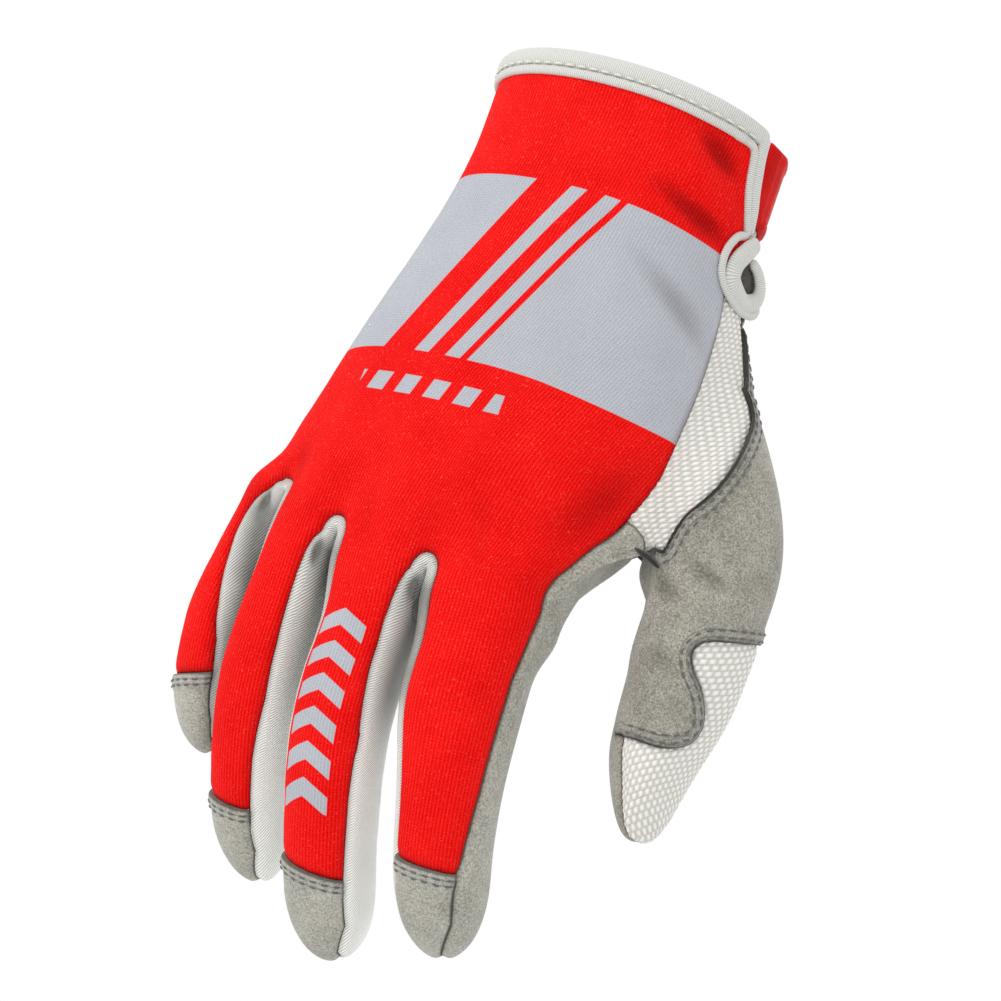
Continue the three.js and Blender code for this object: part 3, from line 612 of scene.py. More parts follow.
# Lines on the cloth where a panel's edge is rounder than the cage, in millimetres across and down
thumbEdge = [
    (34, 96.6), (25.5, 97.9), (18.4, 99.6), (14.2, 100.9), (12.1, 102.6), (11.8, 104.9), (13.0, 107.4),
    (15.2, 109.8), (17.4, 112.8), (18.8, 116.2), (18.2, 119.8), (15.2, 122.2), (11, 123.3), (6, 123.4),
    (-7, 123.2),
]
padEdge = {"inset": 5.5, "end": 123.2}
slitEdge = [
    (35.4, -4), (35.6, 0), (36.4, 3.3), (38.2, 7.9), (40.8, 12.4), (43.4, 16.9), (44.5, 20.5), (44.5, 40),
]
meshEdge = [
    (58.0, 49.5), (62.6, 52.8), (64.9, 56), (65.7, 59.5), (66.6, 63.1), (67.6, 67.8), (68.2, 73),
    (67.9, 76.6), (66.8, 79.6), (66.0, 82.6), (65.7, 85.5), (65.9, 89),
]
meshEnd = [
    (50, 84.2), (55.6, 84.7), (58.2, 85.5), (60.6, 86.8), (62.2, 88.6), (63.4, 90.6), (65, 92), (67, 92.8),
]
wallTop = {"halfWidth": 2.3, "edge": 0.75, "narrowFrom": 4, "narrowTo": 30}
# The thumb side edge of each finger's back, and the upper edge of its cap
fingerEdges = {
    "little": [
        (-20.9, 94.4), (-23.2, 95.6), (-25.4, 99.1), (-27.3, 104), (-28.3, 109), (-28.2, 112),
        (-26.6, 115.5), (-24.1, 119.5), (-22.0, 126), (-21.3, 132), (-21.8, 143), (-24.5, 150),
    ],
    "ring": [
        (-0.8, 103.4), (-2.3, 104.5), (-3.9, 107.2), (-4.7, 110.2), (-4.9, 113.6), (-4.6, 118.5),
        (-3.8, 125), (-3.1, 136), (-4.3, 148), (-4.5, 159), (-5.0, 168), (-8.5, 175),
    ],
    "middle": [
        (24.0, 104.4), (22.8, 105.6), (21.2, 107.6), (20.1, 110.2), (19.4, 113.2), (18.9, 117.5),
        (19.3, 126), (21.1, 140), (20.4, 152), (20.0, 168), (19.4, 178), (15.5, 185),
    ],
    "index": [
        (55.4, 69), (56.3, 75), (56.8, 80), (56.3, 85), (55.2, 89), (54.0, 93), (53.0, 102), (51.6, 111),
        (49.7, 122), (49.2, 134), (48.5, 145), (46.9, 157), (46.2, 160), (45.2, 170), (41.5, 178),
    ],
}
capTops = {
    "little": [(-38, 137), (-21, 132.3)],
    "ring": [(-20, 156.8), (-4.4, 159)],
    "middle": [(2, 164.6), (20, 168.2)],
    "index": [(30, 158.2), (46, 159.9)],
}
# The parts of the cloth in which the cuts are made, in millimetres down and across
cutArea = {
    "thumbFrom": 90,
    "padAcross": 0.5,
    "slitAcross": 52,
    "meshDown": (49.6, 91),
    "meshAcross": (40, 999),
    "webDown": (80, 95),
    "webAcross": (50, 66.5),
    "indexMeshTo": 88,
    "capReach": 12,
    "wallHeight": 75,
    "wallReach": 9,
    "lanesFrom": 112,  # below it, the nearest finger's middle line says whose a cell is
}
farOff = 9.0  # a value well away from any line
smallest = 1e-6


def firstPlaces():
    # one place on the cloth for each point, from the first cell that has it
    places = np.zeros((len(fine["points"]), 2))
    places[fine["quads"].ravel()[::-1]] = fine["places"].reshape(-1, 2)[::-1]
    return places


def distanceTo(positions, targets, reach):
    # distance to the nearest target, or reach where there is none nearer
    found = np.full(len(positions), float(reach))
    if not len(targets):
        return found
    tree = KDTree(len(targets))
    for i, target in enumerate(targets):
        tree.insert(target, i)
    tree.balance()
    low, high = targets.min(0) - reach, targets.max(0) + reach
    for i in np.flatnonzero(((positions > low) & (positions < high)).all(1)):
        found[i] = min(reach, tree.find(positions[i])[2])
    return found


def panelEdges(quads, owners, first, second):
    # points shared by two panels
    one, two = (np.unique(quads[owners == panelNames.index(name)]) for name in (first, second))
    return np.intersect1d(one, two)


def sidesOf(faces):
    # every face's edges, first all faces' first ones
    after = np.roll(faces, -1, 1)
    return np.concatenate([np.stack([faces[:, k], after[:, k]], 1) for k in range(faces.shape[1])])


def snapTo(values, taken):
    # moves the points nearest to the line where values change sign onto it
    quads, positions = fine["quads"][taken], fine["points"]
    edges = np.unique(np.sort(sidesOf(quads), 1), axis=0)
    a, b = edges.T
    crossing = values[a] * values[b] < 0
    a, b = a[crossing], b[crossing]
    share = values[a] / (values[a] - values[b])
    nearer = np.where(share < 0.5, a, b)
    spot = positions[a] + (positions[b] - positions[a]) * share[:, None]
    far = np.linalg.norm(spot - positions[nearer], axis=1)
    for i in np.argsort(-far):
        positions[nearer[i]] = spot[i]
        values[nearer[i]] = 0


def closeTo(line, positions):
    # distance of flat positions to a line of points, and the side of it that each lies on
    best = np.full(len(positions), np.inf)
    side = np.ones(len(positions))
    for a, b in zip(line[:-1], line[1:]):
        a, b = np.array(a, float), np.array(b, float)
        way = b - a
        t = np.clip(((positions - a) @ way) / (way @ way), 0, 1)
        gap = positions - a - t[:, None] * way
        far = np.linalg.norm(gap, axis=1)
        cross = way[0] * gap[:, 1] - way[1] * gap[:, 0]
        nearer = far < best - 1e-9
        best[nearer], side[nearer] = far[nearer], np.sign(cross[nearer])
    return best * side


def catmull(p0, p1, p2, p3, t):
    return 0.5 * (2 * p1 + (p2 - p0) * t + (2 * p0 - 5 * p1 + 4 * p2 - p3) * t ** 2
                  + (3 * p1 - p0 - 3 * p2 + p3) * t ** 3)


def placeAlong(line, along, at):
    # points at given distances along a line
    return np.stack([np.interp(at, along, line[:, k]) for k in range(line.shape[1])], 1)


def smoothLine(line, count):
    # a curve through the points of a line, evenly stepped
    line = np.array(line, float)
    padded = np.vstack([2 * line[0] - line[1], line, 2 * line[-1] - line[-2]])
    steps = np.linspace(0, 1, 12, endpoint=False)
    curve = [catmull(*padded[i - 1:i + 3], t) for i in range(1, len(padded) - 2) for t in steps]
    curve = np.array(curve + [line[-1]])
    along = lengthsAlong(curve)
    return placeAlong(curve, along, np.linspace(0, along[-1], count))


places = firstPlaces()
# Where the skin stands out or in: the middle, the half sizes and the push
bulges = table("at size push", [
    ((2.0, 2.0, -127.0), (7.5, 11.0, 17.0), (-3.2, 0.0, 0.0)),
    ((62.0, 17.0, -130.0), (9.0, 13.0, 13.0), (-3.4, -0.6, 0.0)),
    ((42.0, 10.0, -134.0), (8.0, 12.0, 12.0), (2.2, 0.0, 0.0)),
    ((38.5, 6.0, -106.5), (6.0, 9.0, 7.0), (-1.5, 0.0, 0.0)),
    ((29.5, 7.5, -95.5), (9.0, 9.0, 9.0), (-0.8, -1.2, 4.2)),
])
bulgesFrom = -3.5  # across: the ring finger keeps its form
for bulge in bulges:
    gap = (fine["points"] - np.array(bulge["at"])) / np.array(bulge["size"])
    share = np.exp(-(gap ** 2).sum(1)) * (fine["points"][:, 0] > bulgesFrom)
    fine["points"] += share[:, None] * np.array(bulge["push"])
owners = fine["panels"]
quads = fine["quads"]
cutDiagonal = np.zeros(len(quads), int)
newOwners = []  # values, cells taken and panel names, used once the cells are triangles


def cut(values, taken, below, above):
    snapTo(values, taken)
    corners = values[quads[taken]]
    rows = np.flatnonzero(taken)
    cutDiagonal[rows[corners[:, 0] * corners[:, 2] < 0]] = 2
    cutDiagonal[rows[corners[:, 1] * corners[:, 3] < 0]] = 1
    newOwners.append((values.copy(), taken.copy(), below, above))


def acrossAt(line, down):
    # how far across a line is at each distance down
    line = np.array(line, float)
    return np.interp(down, line[:, 1], line[:, 0])


def meshLow(across):
    return np.interp(across, *np.array(meshEnd, float).T)


def ownedBy(*names):
    return np.isin(owners, [panelNames.index(name) for name in names])


def offLine(values):
    # no value is so near to zero that its side is in doubt
    return np.where(np.abs(values) < smallest, smallest, values)


def valuesOn(taken, valueOf):
    # values for the points of some cells, from their places on the cloth
    found = np.full(len(places), farOff)
    found[quads[taken].ravel()] = valueOf(*fine["places"][taken].reshape(-1, 2).T)
    return offLine(found)


def cutAlong(taken, valueOf, below, above=None):
    cut(valuesOn(taken, valueOf), taken, below, above)


def strictlyIn(values, limits):
    return (values > limits[0]) & (values < limits[1])


quadPlaces = fine["places"]
acrossOf, downOf = quadPlaces[:, :, 0].mean(1), quadPlaces[:, :, 1].mean(1)
onThumb = ownedBy("thumb_shell", "thumb_tip_mesh") & (quadPlaces[:, :, 1].min(1) > cutArea["thumbFrom"])
thumbValues = np.full(len(places), farOff)
thumbPoints = np.unique(quads[onThumb])
thumbValues[thumbPoints] = closeTo(smoothLine(thumbEdge, 160), places[thumbPoints])
cut(thumbValues, onThumb, "thumb_tip_mesh", "thumb_shell")
nearPad = ownedBy("thumb_pad") & (acrossOf < cutArea["padAcross"])
cutAlong(nearPad, lambda u, v: np.maximum(-padEdge["inset"] - u, v - padEdge["end"]), "thumb_shell")
inSlit = ownedBy("slit") & (acrossOf < cutArea["slitAcross"])
cutAlong(inSlit, lambda u, v: u - acrossAt(slitEdge, v), "back_panel")
nearMesh = ownedBy("side_mesh", "thumb_shell")
nearMesh &= strictlyIn(downOf, cutArea["meshDown"]) & strictlyIn(acrossOf, cutArea["meshAcross"])
cutAlong(nearMesh, lambda u, v: acrossAt(meshEdge, v) - u, "thumb_shell", "side_mesh")

crotchAcross = [knucklePlaces[lowerFirst[f"back{lane}"]][0] for lane in range(1, lastLane + 1)]


def laneOf(spots):
    # the finger whose middle line is nearest, for places below the knuckles
    downs = np.linspace(-0.4, 1.1, 60)
    down = (-spots[:, 2] - hand["palmLength"]) / hand["fingerLength"]
    gaps = []
    for name in fingerNames:
        middle = np.array([digitOf[name].centre(d)[:2] for d in downs])
        away = np.linalg.norm(spots[:, :2] - placeAlong(middle, downs, down), axis=1)
        gaps.append(away / digitOf[name].halfWidth)
    return np.argmin(gaps, 0)


byMiddle = laneOf(fine["points"][quads].mean(1))
cellLane = np.where(downOf > cutArea["lanesFrom"], byMiddle, np.searchsorted(crotchAcross, acrossOf))
for lane, name in enumerate(fingerNames):
    onBack = (cellLane == lane) & ownedBy("back_panel", f"tip_cap_{name}")
    slope, level = np.polyfit(*np.array(capTops[name], float).T, 1)
    onCap = onBack & (downOf > capTops[name][0][1] - cutArea["capReach"])
    cutAlong(onCap, lambda u, v: v - slope * u - level, "back_panel", f"tip_cap_{name}")
    onEdge = onBack & (downOf > fingerEdges[name][0][1])
    beside = "palm_panel" if lane == lastLane else sideName(lane)
    cutAlong(onEdge, lambda u, v: acrossAt(fingerEdges[name], v) - u, beside)
onMesh = onEdge & (downOf < cutArea["indexMeshTo"])
cutAlong(onMesh, lambda u, v: np.maximum(acrossAt(fingerEdges[name], v) - u, v - meshLow(u)), "side_mesh")
nearWeb = ownedBy("palm_panel", "side_mesh")
nearWeb &= strictlyIn(downOf, cutArea["webDown"]) & strictlyIn(acrossOf, cutArea["webAcross"])
cutAlong(nearWeb, lambda u, v: v - meshLow(u), "side_mesh", "palm_panel")
for lane in range(lastLane):
    seam = fine["points"][panelEdges(quads, owners, "back_panel", sideName(lane))]
    top = seam[:, 2].max()
    taken = ownedBy("back_panel") & (fine["points"][quads][:, :, 2].max(1) > top - cutArea["wallHeight"])
    inBack = np.unique(quads[taken])
    spots = fine["points"][inBack]
    depth = (top - spots[:, 2] - wallTop["narrowFrom"]) / (wallTop["narrowTo"] - wallTop["narrowFrom"])
    depth = np.clip(depth, 0, 1)
    narrowing = (wallTop["edge"] - wallTop["halfWidth"]) * depth * depth * (3 - 2 * depth)
    values = np.full(len(places), -farOff)
    away = distanceTo(spots, seam, cutArea["wallReach"])
    values[inBack] = offLine(away - (wallTop["halfWidth"] + narrowing))
    cut(values, taken, sideName(lane), None)

# Cells to triangles, along the shorter diagonal or along a cut
corner = fine["points"][quads]
diagonals = [np.linalg.norm(corner[:, k] - corner[:, k + 2], axis=1) for k in (0, 1)]
alongFirst = np.where(cutDiagonal == 0, diagonals[0] < diagonals[1], cutDiagonal == 1)
order = np.where(alongFirst[:, None], [[0, 1, 2, 0, 2, 3]], [[1, 2, 3, 1, 3, 0]])
triangles = np.take_along_axis(quads, order, 1).reshape(-1, 3)
trianglePlaces = np.take_along_axis(quadPlaces, order[:, :, None], 1).reshape(-1, 3, 2)
triangleOwners = np.repeat(owners, 2)
for values, taken, below, above in newOwners:
    both = np.repeat(taken, 2)
    side = values[triangles].mean(1)
    triangleOwners[both & (side < 0)] = panelNames.index(below)
    if above:
        triangleOwners[both & (side >= 0)] = panelNames.index(above)
positions = fine["points"]


def outwardOf(positions, triangles):
    a, b, c = (positions[triangles[:, k]] for k in range(3))
    faces = np.cross(b - a, c - a)
    found = np.zeros_like(positions)
    for k in range(3):
        np.add.at(found, triangles[:, k], faces)
    return found / np.maximum(1e-12, np.linalg.norm(found, axis=1))[:, None]


outward = outwardOf(positions, triangles)
print("panels cut:", len(triangles), "triangles")


# Soft forms: what a hand and a needle leave in the cloth
softness = {
    "swell": 0.35,  # broad unevenness, millimetres
    "swellSize": 26,
    "pucker": 0.16,  # close to a seam
    "puckerSize": 5.5,
    "puckerReach": 3.5,
    "seamDip": 0.62,
    "seamWidth": 1.0,
    "seamSag": 0.22,
    "lapHeight": 0.5,
    "lapFlat": 1.8,  # of the lap's width, before it slopes
    "lapWidth": 3.4,
    "lapGroove": (0.25, 0.3),  # depth and width, beside the seam
    "tuck": (0.5, 1.3),  # of the panel under a lap
    "sagWidth": 2.6,
    "seamGap": 0.07,
    "reach": 12.0,
}


def noiseAt(spots, size, seed):
    shift = Vector((seed * 13.7, seed * 5.1, seed * 9.3))
    return np.array([noise.noise(Vector(p) / size + shift) for p in spots])


# Folds: a place on the skin, the way that the fold runs, its half length, half width and height. Dips are
# also painted darker, as shade, through the fold layer
folds = table("at along halfLength halfWidth height", [
    ((25.5, -13.0, -9.0), (0.8, 0.35, -0.45), 8, 3.0, -1.5),
    ((24.0, -14.0, -16.0), (0.75, 0.4, -0.5), 12, 3.6, 1.0),
    ((26.0, -12.5, -22.5), (0.82, 0.45, -0.2), 12, 3.2, -1.7),
    ((20.0, -14.5, -30.0), (0.7, 0.35, -0.6), 13, 5.0, 0.9),
    ((25.5, -11.5, -39.5), (0.7, 0.4, -0.55), 15, 4.2, -1.2),
    ((24.0, -13.5, -48.0), (0.8, 0.3, -0.45), 14, 5.0, 0.7),
    ((27.0, -6.5, -84.0), (0.45, 0.2, 0.85), 16, 5.5, -0.9),
    ((-30.0, -9.0, -84.0), (-0.1, 0.1, -1.0), 15, 4.0, 0.6),
    ((-12.0, -11.5, -93.0), (0.1, 0.1, -1.0), 14, 4.5, 0.6),
    ((-38.0, -4.0, -90.0), (-0.15, 0.1, -1.0), 10, 3.5, -0.7),
    ((-17.0, -10.0, -97.0), (-0.1, 0.1, -1.0), 9, 3.2, -0.6),
    ((7.0, -11.5, -98.0), (0.1, 0.1, -1.0), 10, 3.6, -0.5),
    ((11.5, -8.5, -128.0), (0.2, 0.2, -1.0), 12, 4.0, 0.7),
    ((46.0, -1.0, -88.5), (0.85, 0.35, -0.3), 15, 2.4, -1.1),
    ((47.0, -1.0, -82.0), (0.8, 0.3, -0.5), 10, 3.2, 0.9),
    ((42.0, 2.5, -94.5), (0.85, 0.3, -0.3), 12, 2.6, -0.75),
    ((40.5, 4.0, -101.0), (0.6, 0.3, -0.5), 7, 2.6, 1.3),
    ((50.0, 3.0, -97.0), (0.8, 0.3, 0.3), 8, 3.0, 0.5),
    ((45.0, 4.0, -107.0), (0.8, 0.2, -0.4), 10, 2.8, -0.4),
    ((44.5, 6.5, -112.0), (0.1, 0.2, -1.0), 14, 6.5, -0.35),
    ((-46.6, 1.6, -99.5), (0.05, 0.2, -1.0), 2.4, 1.0, -1.6),
    ((-28.2, -4.4, -108.5), (0.05, 0.2, -1.0), 2.4, 1.0, -1.6),
    ((-4.0, -7.0, -110.5), (0.05, 0.2, -1.0), 2.4, 0.9, -1.0),
])


def rounded(d, size):
    # a rounded rise or dip of a depth and a width
    return size[0] * np.exp(-(d / size[1]) ** 2)


def foldHeights(spots):
    total = np.zeros(len(spots))
    for fold in folds:
        way = unit(np.array(fold["along"]))
        gap = spots - np.array(fold["at"])
        run = gap @ way
        off = np.linalg.norm(gap - run[:, None] * way, axis=1)
        total += fold["height"] * np.exp(-((run / fold["halfLength"]) ** 2 + (off / fold["halfWidth"]) ** 2))
    return total


# The panels whose edge lies over a neighbour's
lapped = {("thumb_shell", "thumb_tip_mesh"), ("thumb_shell", "side_mesh"), ("palm_panel", "side_mesh")}
lapped |= {(f"tip_cap_{name}", "back_panel") for name in fingerNames}


def seamHeights(kind, d):
    if kind == "over":
        sloped = (d - softness["lapFlat"]) / (softness["lapWidth"] - softness["lapFlat"])
        return softness["lapHeight"] * (1 - np.clip(sloped, 0, 1) ** 2) - rounded(d, softness["lapGroove"])
    if kind == "under":
        return -rounded(d, softness["tuck"])
    dip = rounded(d, (softness["seamDip"], softness["seamWidth"]))
    return -dip - softness["seamSag"] * np.exp(-d / softness["sagWidth"])


allEdges = sidesOf(triangles)
allOwners = np.tile(triangleOwners, 3)
edgeKeys = allEdges[:, 0] * len(positions) + allEdges[:, 1]
keyOrder = np.argsort(edgeKeys)
sortedKeys = edgeKeys[keyOrder]


def rimOf(panel):
    # the edges round a panel, with the panel past each one, or -1
    mine = allOwners == panel
    edges = allEdges[mine]
    turned = edges[:, 1] * len(positions) + edges[:, 0]
    at = np.clip(np.searchsorted(sortedKeys, turned), 0, len(sortedKeys) - 1)
    other = np.where(sortedKeys[at] == turned, allOwners[keyOrder[at]], -1)
    rim = other != panel
    return edges[rim], other[rim]


folded = foldHeights(positions)
swell = noiseAt(positions, softness["swellSize"], 1) * softness["swell"] + folded
pucker = noiseAt(positions, softness["puckerSize"], 2)
# Shade between two fingers, from a little below their crotch
valleys = {"reach": 6.5, "start": 3.0, "fade": 4, "shade": 1.2}
pointLane = laneOf(positions)
shade = np.zeros(len(positions))
for lane in range(lastLane):
    used = np.unique(triangles[triangleOwners == panelNames.index(sideName(lane))])
    start = positions[used, 2].max() - valleys["start"]
    used = used[positions[used, 2] < start]
    sides = [used[pointLane[used] == lane], used[pointLane[used] == lane + 1]]
    for one, other in (sides, sides[::-1]):
        near = 1 - distanceTo(positions[one], positions[other], valleys["reach"]) / valleys["reach"]
        shade[one] = near * np.clip((start - positions[one, 2]) / valleys["fade"], 0, 1)
print("soft forms worked out")


def makeObject(name, spots, faces):
    mesh = bpy.data.meshes.new(name)
    mesh.from_pydata((np.asarray(spots) * millimetre).tolist(), [], [tuple(int(i) for i in f) for f in faces])
    mesh.update()
    made = addObject(name, mesh)
    mesh.shade_smooth()
    return made


def addCloth(made, rows):
    # where each point lies on the cloth, in millimetres: across, down, and from the nearest seam
    layer = made.data.attributes.new("cloth", "FLOAT_VECTOR", "POINT")
    layer.data.foreach_set("vector", np.asarray(rows, np.float32).ravel())


def dressed(made, slotName, finish, *nodes):
    made.data.materials.clear()
    made.data.materials.append(finish)
    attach(made, "root")
    if nodes:
        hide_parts(*nodes)
    return made


def splitTriangles(faces, *layers):
    # every triangle becomes four, and each layer of values gets its middle points
    edges = np.sort(sidesOf(faces), 1)
    unique, place = np.unique(edges, axis=0, return_inverse=True)
    count = len(layers[0])
    ab, bc, ca = (place.ravel().reshape(3, -1) + count)
    a, b, c = faces.T
    finer = np.concatenate([np.stack(t, 1) for t in ((a, ab, ca), (ab, b, bc), (ca, bc, c), (ab, bc, ca))])
    return [finer] + [np.concatenate([x, (x[unique[:, 0]] + x[unique[:, 1]]) / 2]) for x in layers]


def thinInside(made, first, share):
    # fewer triangles where a large panel is seen least, from its first inner point on
    group = made.vertex_groups.new(name="inside")
    group.add(list(range(first, len(made.data.vertices))), 1.0, "REPLACE")
    thinner = made.modifiers.new("thinInside", "DECIMATE")
    thinner.ratio, thinner.vertex_group = share, "inside"


panelData = {}


def buildPanel(node, wall, finer=0, relief=None):
    # the outside of a panel with its seams and folds, its inside, and the rim between them
    panel = panelNames.index(node)
    mine = triangleOwners == panel
    used, local = np.unique(triangles[mine], return_inverse=True)
    faces = local.reshape(-1, 3)
    spots, ways = positions[used].copy(), outward[used]
    cloth = np.zeros((len(used), 2))
    cloth[faces.ravel()[::-1]] = trianglePlaces[mine].reshape(-1, 2)[::-1]
    rim, others = rimOf(panel)
    nearest = np.full(len(used), softness["reach"])
    lap = nearest.copy()
    height = swell[used].copy()
    for other in np.unique(others):
        d = distanceTo(positions[used], positions[np.unique(rim[others == other])], softness["reach"])
        nearest = np.minimum(nearest, d)
        neighbour = panelNames[other] if other >= 0 else ""
        if neighbour in ("slit", ""):
            continue
        kind = "over" if (node, neighbour) in lapped else "turned"
        kind = "under" if (neighbour, node) in lapped else kind
        lap = np.minimum(lap, d) if kind == "over" else lap
        height += seamHeights(kind, d)
    height += pucker[used] * softness["pucker"] * np.exp(-nearest / softness["puckerReach"])
    isRim = np.isin(used, np.unique(rim))
    middle = spots[faces].mean(1)
    pull, count = np.zeros_like(spots), np.zeros(len(spots))
    for k in range(3):
        np.add.at(pull, faces[:, k], middle)
        np.add.at(count, faces[:, k], 1)
    pull = pull / count[:, None] - spots
    pull -= ways * (pull * ways).sum(1)[:, None]
    pull /= np.maximum(1e-9, np.linalg.norm(pull, axis=1))[:, None]
    spots[isRim] += pull[isRim] * softness["seamGap"]
    # painted shade: between fingers and in the dips of the folds, kept in the fold layer
    shaded = shade[used] * valleys["shade"] - folded[used]
    values = np.column_stack([cloth, nearest, height, swell[used], shaded, lap])
    for _ in range(finer):
        faces, spots, ways, values = splitTriangles(faces, spots, ways, values)
    ways = ways / np.linalg.norm(ways, axis=1)[:, None]
    if relief is not None:
        values[:, 3] += relief(values[:, :3])
    outer = spots + ways * values[:, 3:4]
    inner = spots + ways * (values[:, 4:5] - wall)
    edges = sidesOf(faces)
    keys = edges[:, 0] * len(spots) + edges[:, 1]
    border = edges[~np.isin(keys, edges[:, 1] * len(spots) + edges[:, 0])]
    n = len(spots)
    sides = [(b, a, a + n) for a, b in border] + [(b, a + n, b + n) for a, b in border]
    allFaces = np.concatenate([faces, faces[:, ::-1] + n, np.array(sides)])
    first, *rest = node.split("_")
    name = first + "".join(word.capitalize() for word in rest)
    made = makeObject(name, np.vstack([outer, inner]), allFaces)
    addCloth(made, np.vstack([values[:, :3]] * 2))
    for kind, column in (("fold", np.maximum(0, values[:, 5])), ("lap", values[:, 6])):
        layer = made.data.attributes.new(kind, "FLOAT", "POINT")
        layer.data.foreach_set("value", np.tile(column, 2).astype(np.float32))
    panelData[node] = {"outer": outer, "faces": faces, "rim": rim, "others": others}
    if len(allFaces) > skin["largePanel"]:
        thinInside(made, n, skin["insideShare"])
    return made


# Materials. A Wire is one value in a node tree, so that a pattern reads as a formula.
def linear(colour):
    # linear values of a colour written as six hex digits
    shares = [int(colour[i:i + 2], 16) / 255 for i in (0, 2, 4)]
    return [s / 12.92 if s <= 0.04045 else ((s + 0.055) / 1.055) ** 2.4 for s in shares]


def feed(socket, value):
    # links a wire or a socket, and sets a number, a row of them or a colour
    value = value.socket if isinstance(value, Wire) else value
    if isinstance(value, bpy.types.NodeSocket):
        socket.id_data.links.new(value, socket)
    else:
        socket.default_value = (*linear(value), 1) if isinstance(value, str) else value


def addNode(tree, kind, inputs, **settings):
    node = tree.nodes.new("ShaderNode" + kind)
    for name, value in settings.items():
        setattr(node, name, value)
    for name, value in inputs.items():
        feed(node.inputs[name], value)
    return node


def operation(kind):
    return lambda self, *others: self.math(kind, *others)


class Wire:
    def __init__(self, socket):
        self.socket = socket
        self.tree = socket.id_data

    def math(self, kind, *others):
        return Wire(addNode(self.tree, "Math", dict(enumerate((self, *others))), operation=kind).outputs[0])

    __add__ = __radd__ = operation("ADD")
    __sub__ = operation("SUBTRACT")
    __mul__ = __rmul__ = operation("MULTIPLY")
    __truediv__ = operation("DIVIDE")
    either = operation("MAXIMUM")
    sine = operation("SINE")
    floor = operation("FLOOR")
    fraction = operation("FRACT")
    absolute = operation("ABSOLUTE")

    def __rsub__(self, other):
        return (self * -1) + other

    def __neg__(self):
        return self * -1

    def wave(self, pitch):
        # a sine of 0 to 1 with that pitch
        return (self * (2 * math.pi / pitch)).sine() * 0.5 + 0.5

    def rise(self, start, end):
        # 0 at start and 1 at end, with a smooth step between
        inputs = {"Value": self, "From Min": start, "From Max": end}
        return Wire(addNode(self.tree, "MapRange", inputs, interpolation_type="SMOOTHSTEP").outputs["Result"])

    def inside(self, start, end, blur=0.12):
        return self.rise(start - blur, start + blur) * self.rise(end + blur, end - blur)


class Finish:
    # a material, the places on the cloth that its patterns follow, and the places in millimetres
    def __init__(self, name):
        self.material = bpy.data.materials.new(name)
        self.material.use_nodes = True
        self.tree = self.material.node_tree
        self.across, self.down, self.fromSeam = self.split(self.attribute("cloth", "Vector"))
        # the fold layer is painted shade, in folds and between fingers
        self.fold, self.lap = (Wire(self.attribute(kind, "Fac")) for kind in ("fold", "lap"))
        inputs = {0: addNode(self.tree, "TexCoord", {}).outputs["Object"], "Scale": 1 / millimetre}
        self.place = addNode(self.tree, "VectorMath", inputs, operation="SCALE").outputs[0]
        self.x, self.y, self.z = self.split(self.place)

    def attribute(self, name, output):
        return addNode(self.tree, "Attribute", {}, attribute_name=name).outputs[output]

    def split(self, vector):
        return [Wire(socket) for socket in addNode(self.tree, "SeparateXYZ", {0: vector}).outputs]

    def noise(self, size, detail=2.0, roughness=0.5, stretch=(1, 1, 1)):
        # cloudy values of about 0 to 1, with spots of that size in millimetres
        mapping = addNode(self.tree, "Mapping", {"Scale": [s / size for s in stretch], "Vector": self.place})
        inputs = {"Vector": mapping.outputs["Vector"], "Scale": 1.0, "Detail": detail, "Roughness": roughness}
        return Wire(addNode(self.tree, "TexNoise", inputs).outputs["Fac"])

    def colours(self, share, *stops):
        node = addNode(self.tree, "ValToRGB", {"Fac": share})
        elements = node.color_ramp.elements
        while len(elements) < len(stops):
            elements.new(0.5)
        for element, (at, colour) in zip(elements, stops):
            element.position = at
            element.color = (*linear(colour), 1)
        return node.outputs["Color"]

    def blend(self, share, first, second, kind="MIX"):
        inputs = {0: share, 6: first, 7: second}
        return addNode(self.tree, "Mix", inputs, data_type="RGBA", blend_type=kind).outputs[2]

    def shaded(self, share, colour, second):
        return self.blend(share, colour, second, "MULTIPLY")

    def finish(self, colour, rough, height, depth=1.0, **constants):
        # colour, roughness and height in millimetres go to the shader
        bump = addNode(self.tree, "Bump", {"Strength": depth, "Distance": millimetre, "Height": height})
        shader = self.tree.nodes["Principled BSDF"]
        inputs = {"Base Color": colour, "Roughness": rough, "Normal": bump.outputs["Normal"]}
        names = {
            "sheen": "Sheen Weight",
            "sheenRoughness": "Sheen Roughness",
            "specular": "Specular IOR Level",
        }
        inputs.update({names[name]: value for name, value in constants.items()})
        for name, value in inputs.items():
            feed(shader.inputs[name], value)
        return self.material


knit = {
    "ribPitch": 0.72,
    "coursePitch": 0.55,
    "relief": 0.16,
    "red": "E80709",
    "redDark": "B80406",
    "redLight": "FA2A22",
    "print": "B9BCC3",
    "printDark": "A2A5AE",
    "printLight": "C9CBD2",
    "fibres": "FF7C6A",
    "atSeams": "7A0405",
    "inFolds": "746E70",
}
# The printed design: a plain grey band with slanted red bars, dashes below it and bars on a finger
printed = {
    "bandTop": -25.8,
    "bandBottom": -65.2,
    "topDrop": (2.0, 4, 36),  # toward the thumb, and where it starts and ends
    "bottomDrop": (1.8, -4, 36),
    "blur": 0.12,
    "barLean": 0.55,  # millimetres across for each one down
    "barsAt": 25,
    "bars": [(-17.5, -9.5), (-6.0, -2.0), (1.5, 3.2)],
    "dashTop": -70.5,
    "dashBottom": -74.5,
    "dashPitch": 7.0,
    "dashWidth": 4.6,
    "dashLean": 0.35,
    "dashFrom": -31,
    "dashTo": 3,
    "fingerAt": 10.6,
    "fingerTop": -118,
    "fingerBottom": -157,
    "fingerPitch": 6.6,
    "fingerBar": 3.9,
    "fingerLean": 0.45,
    "fingerHalf": 5.4,
}


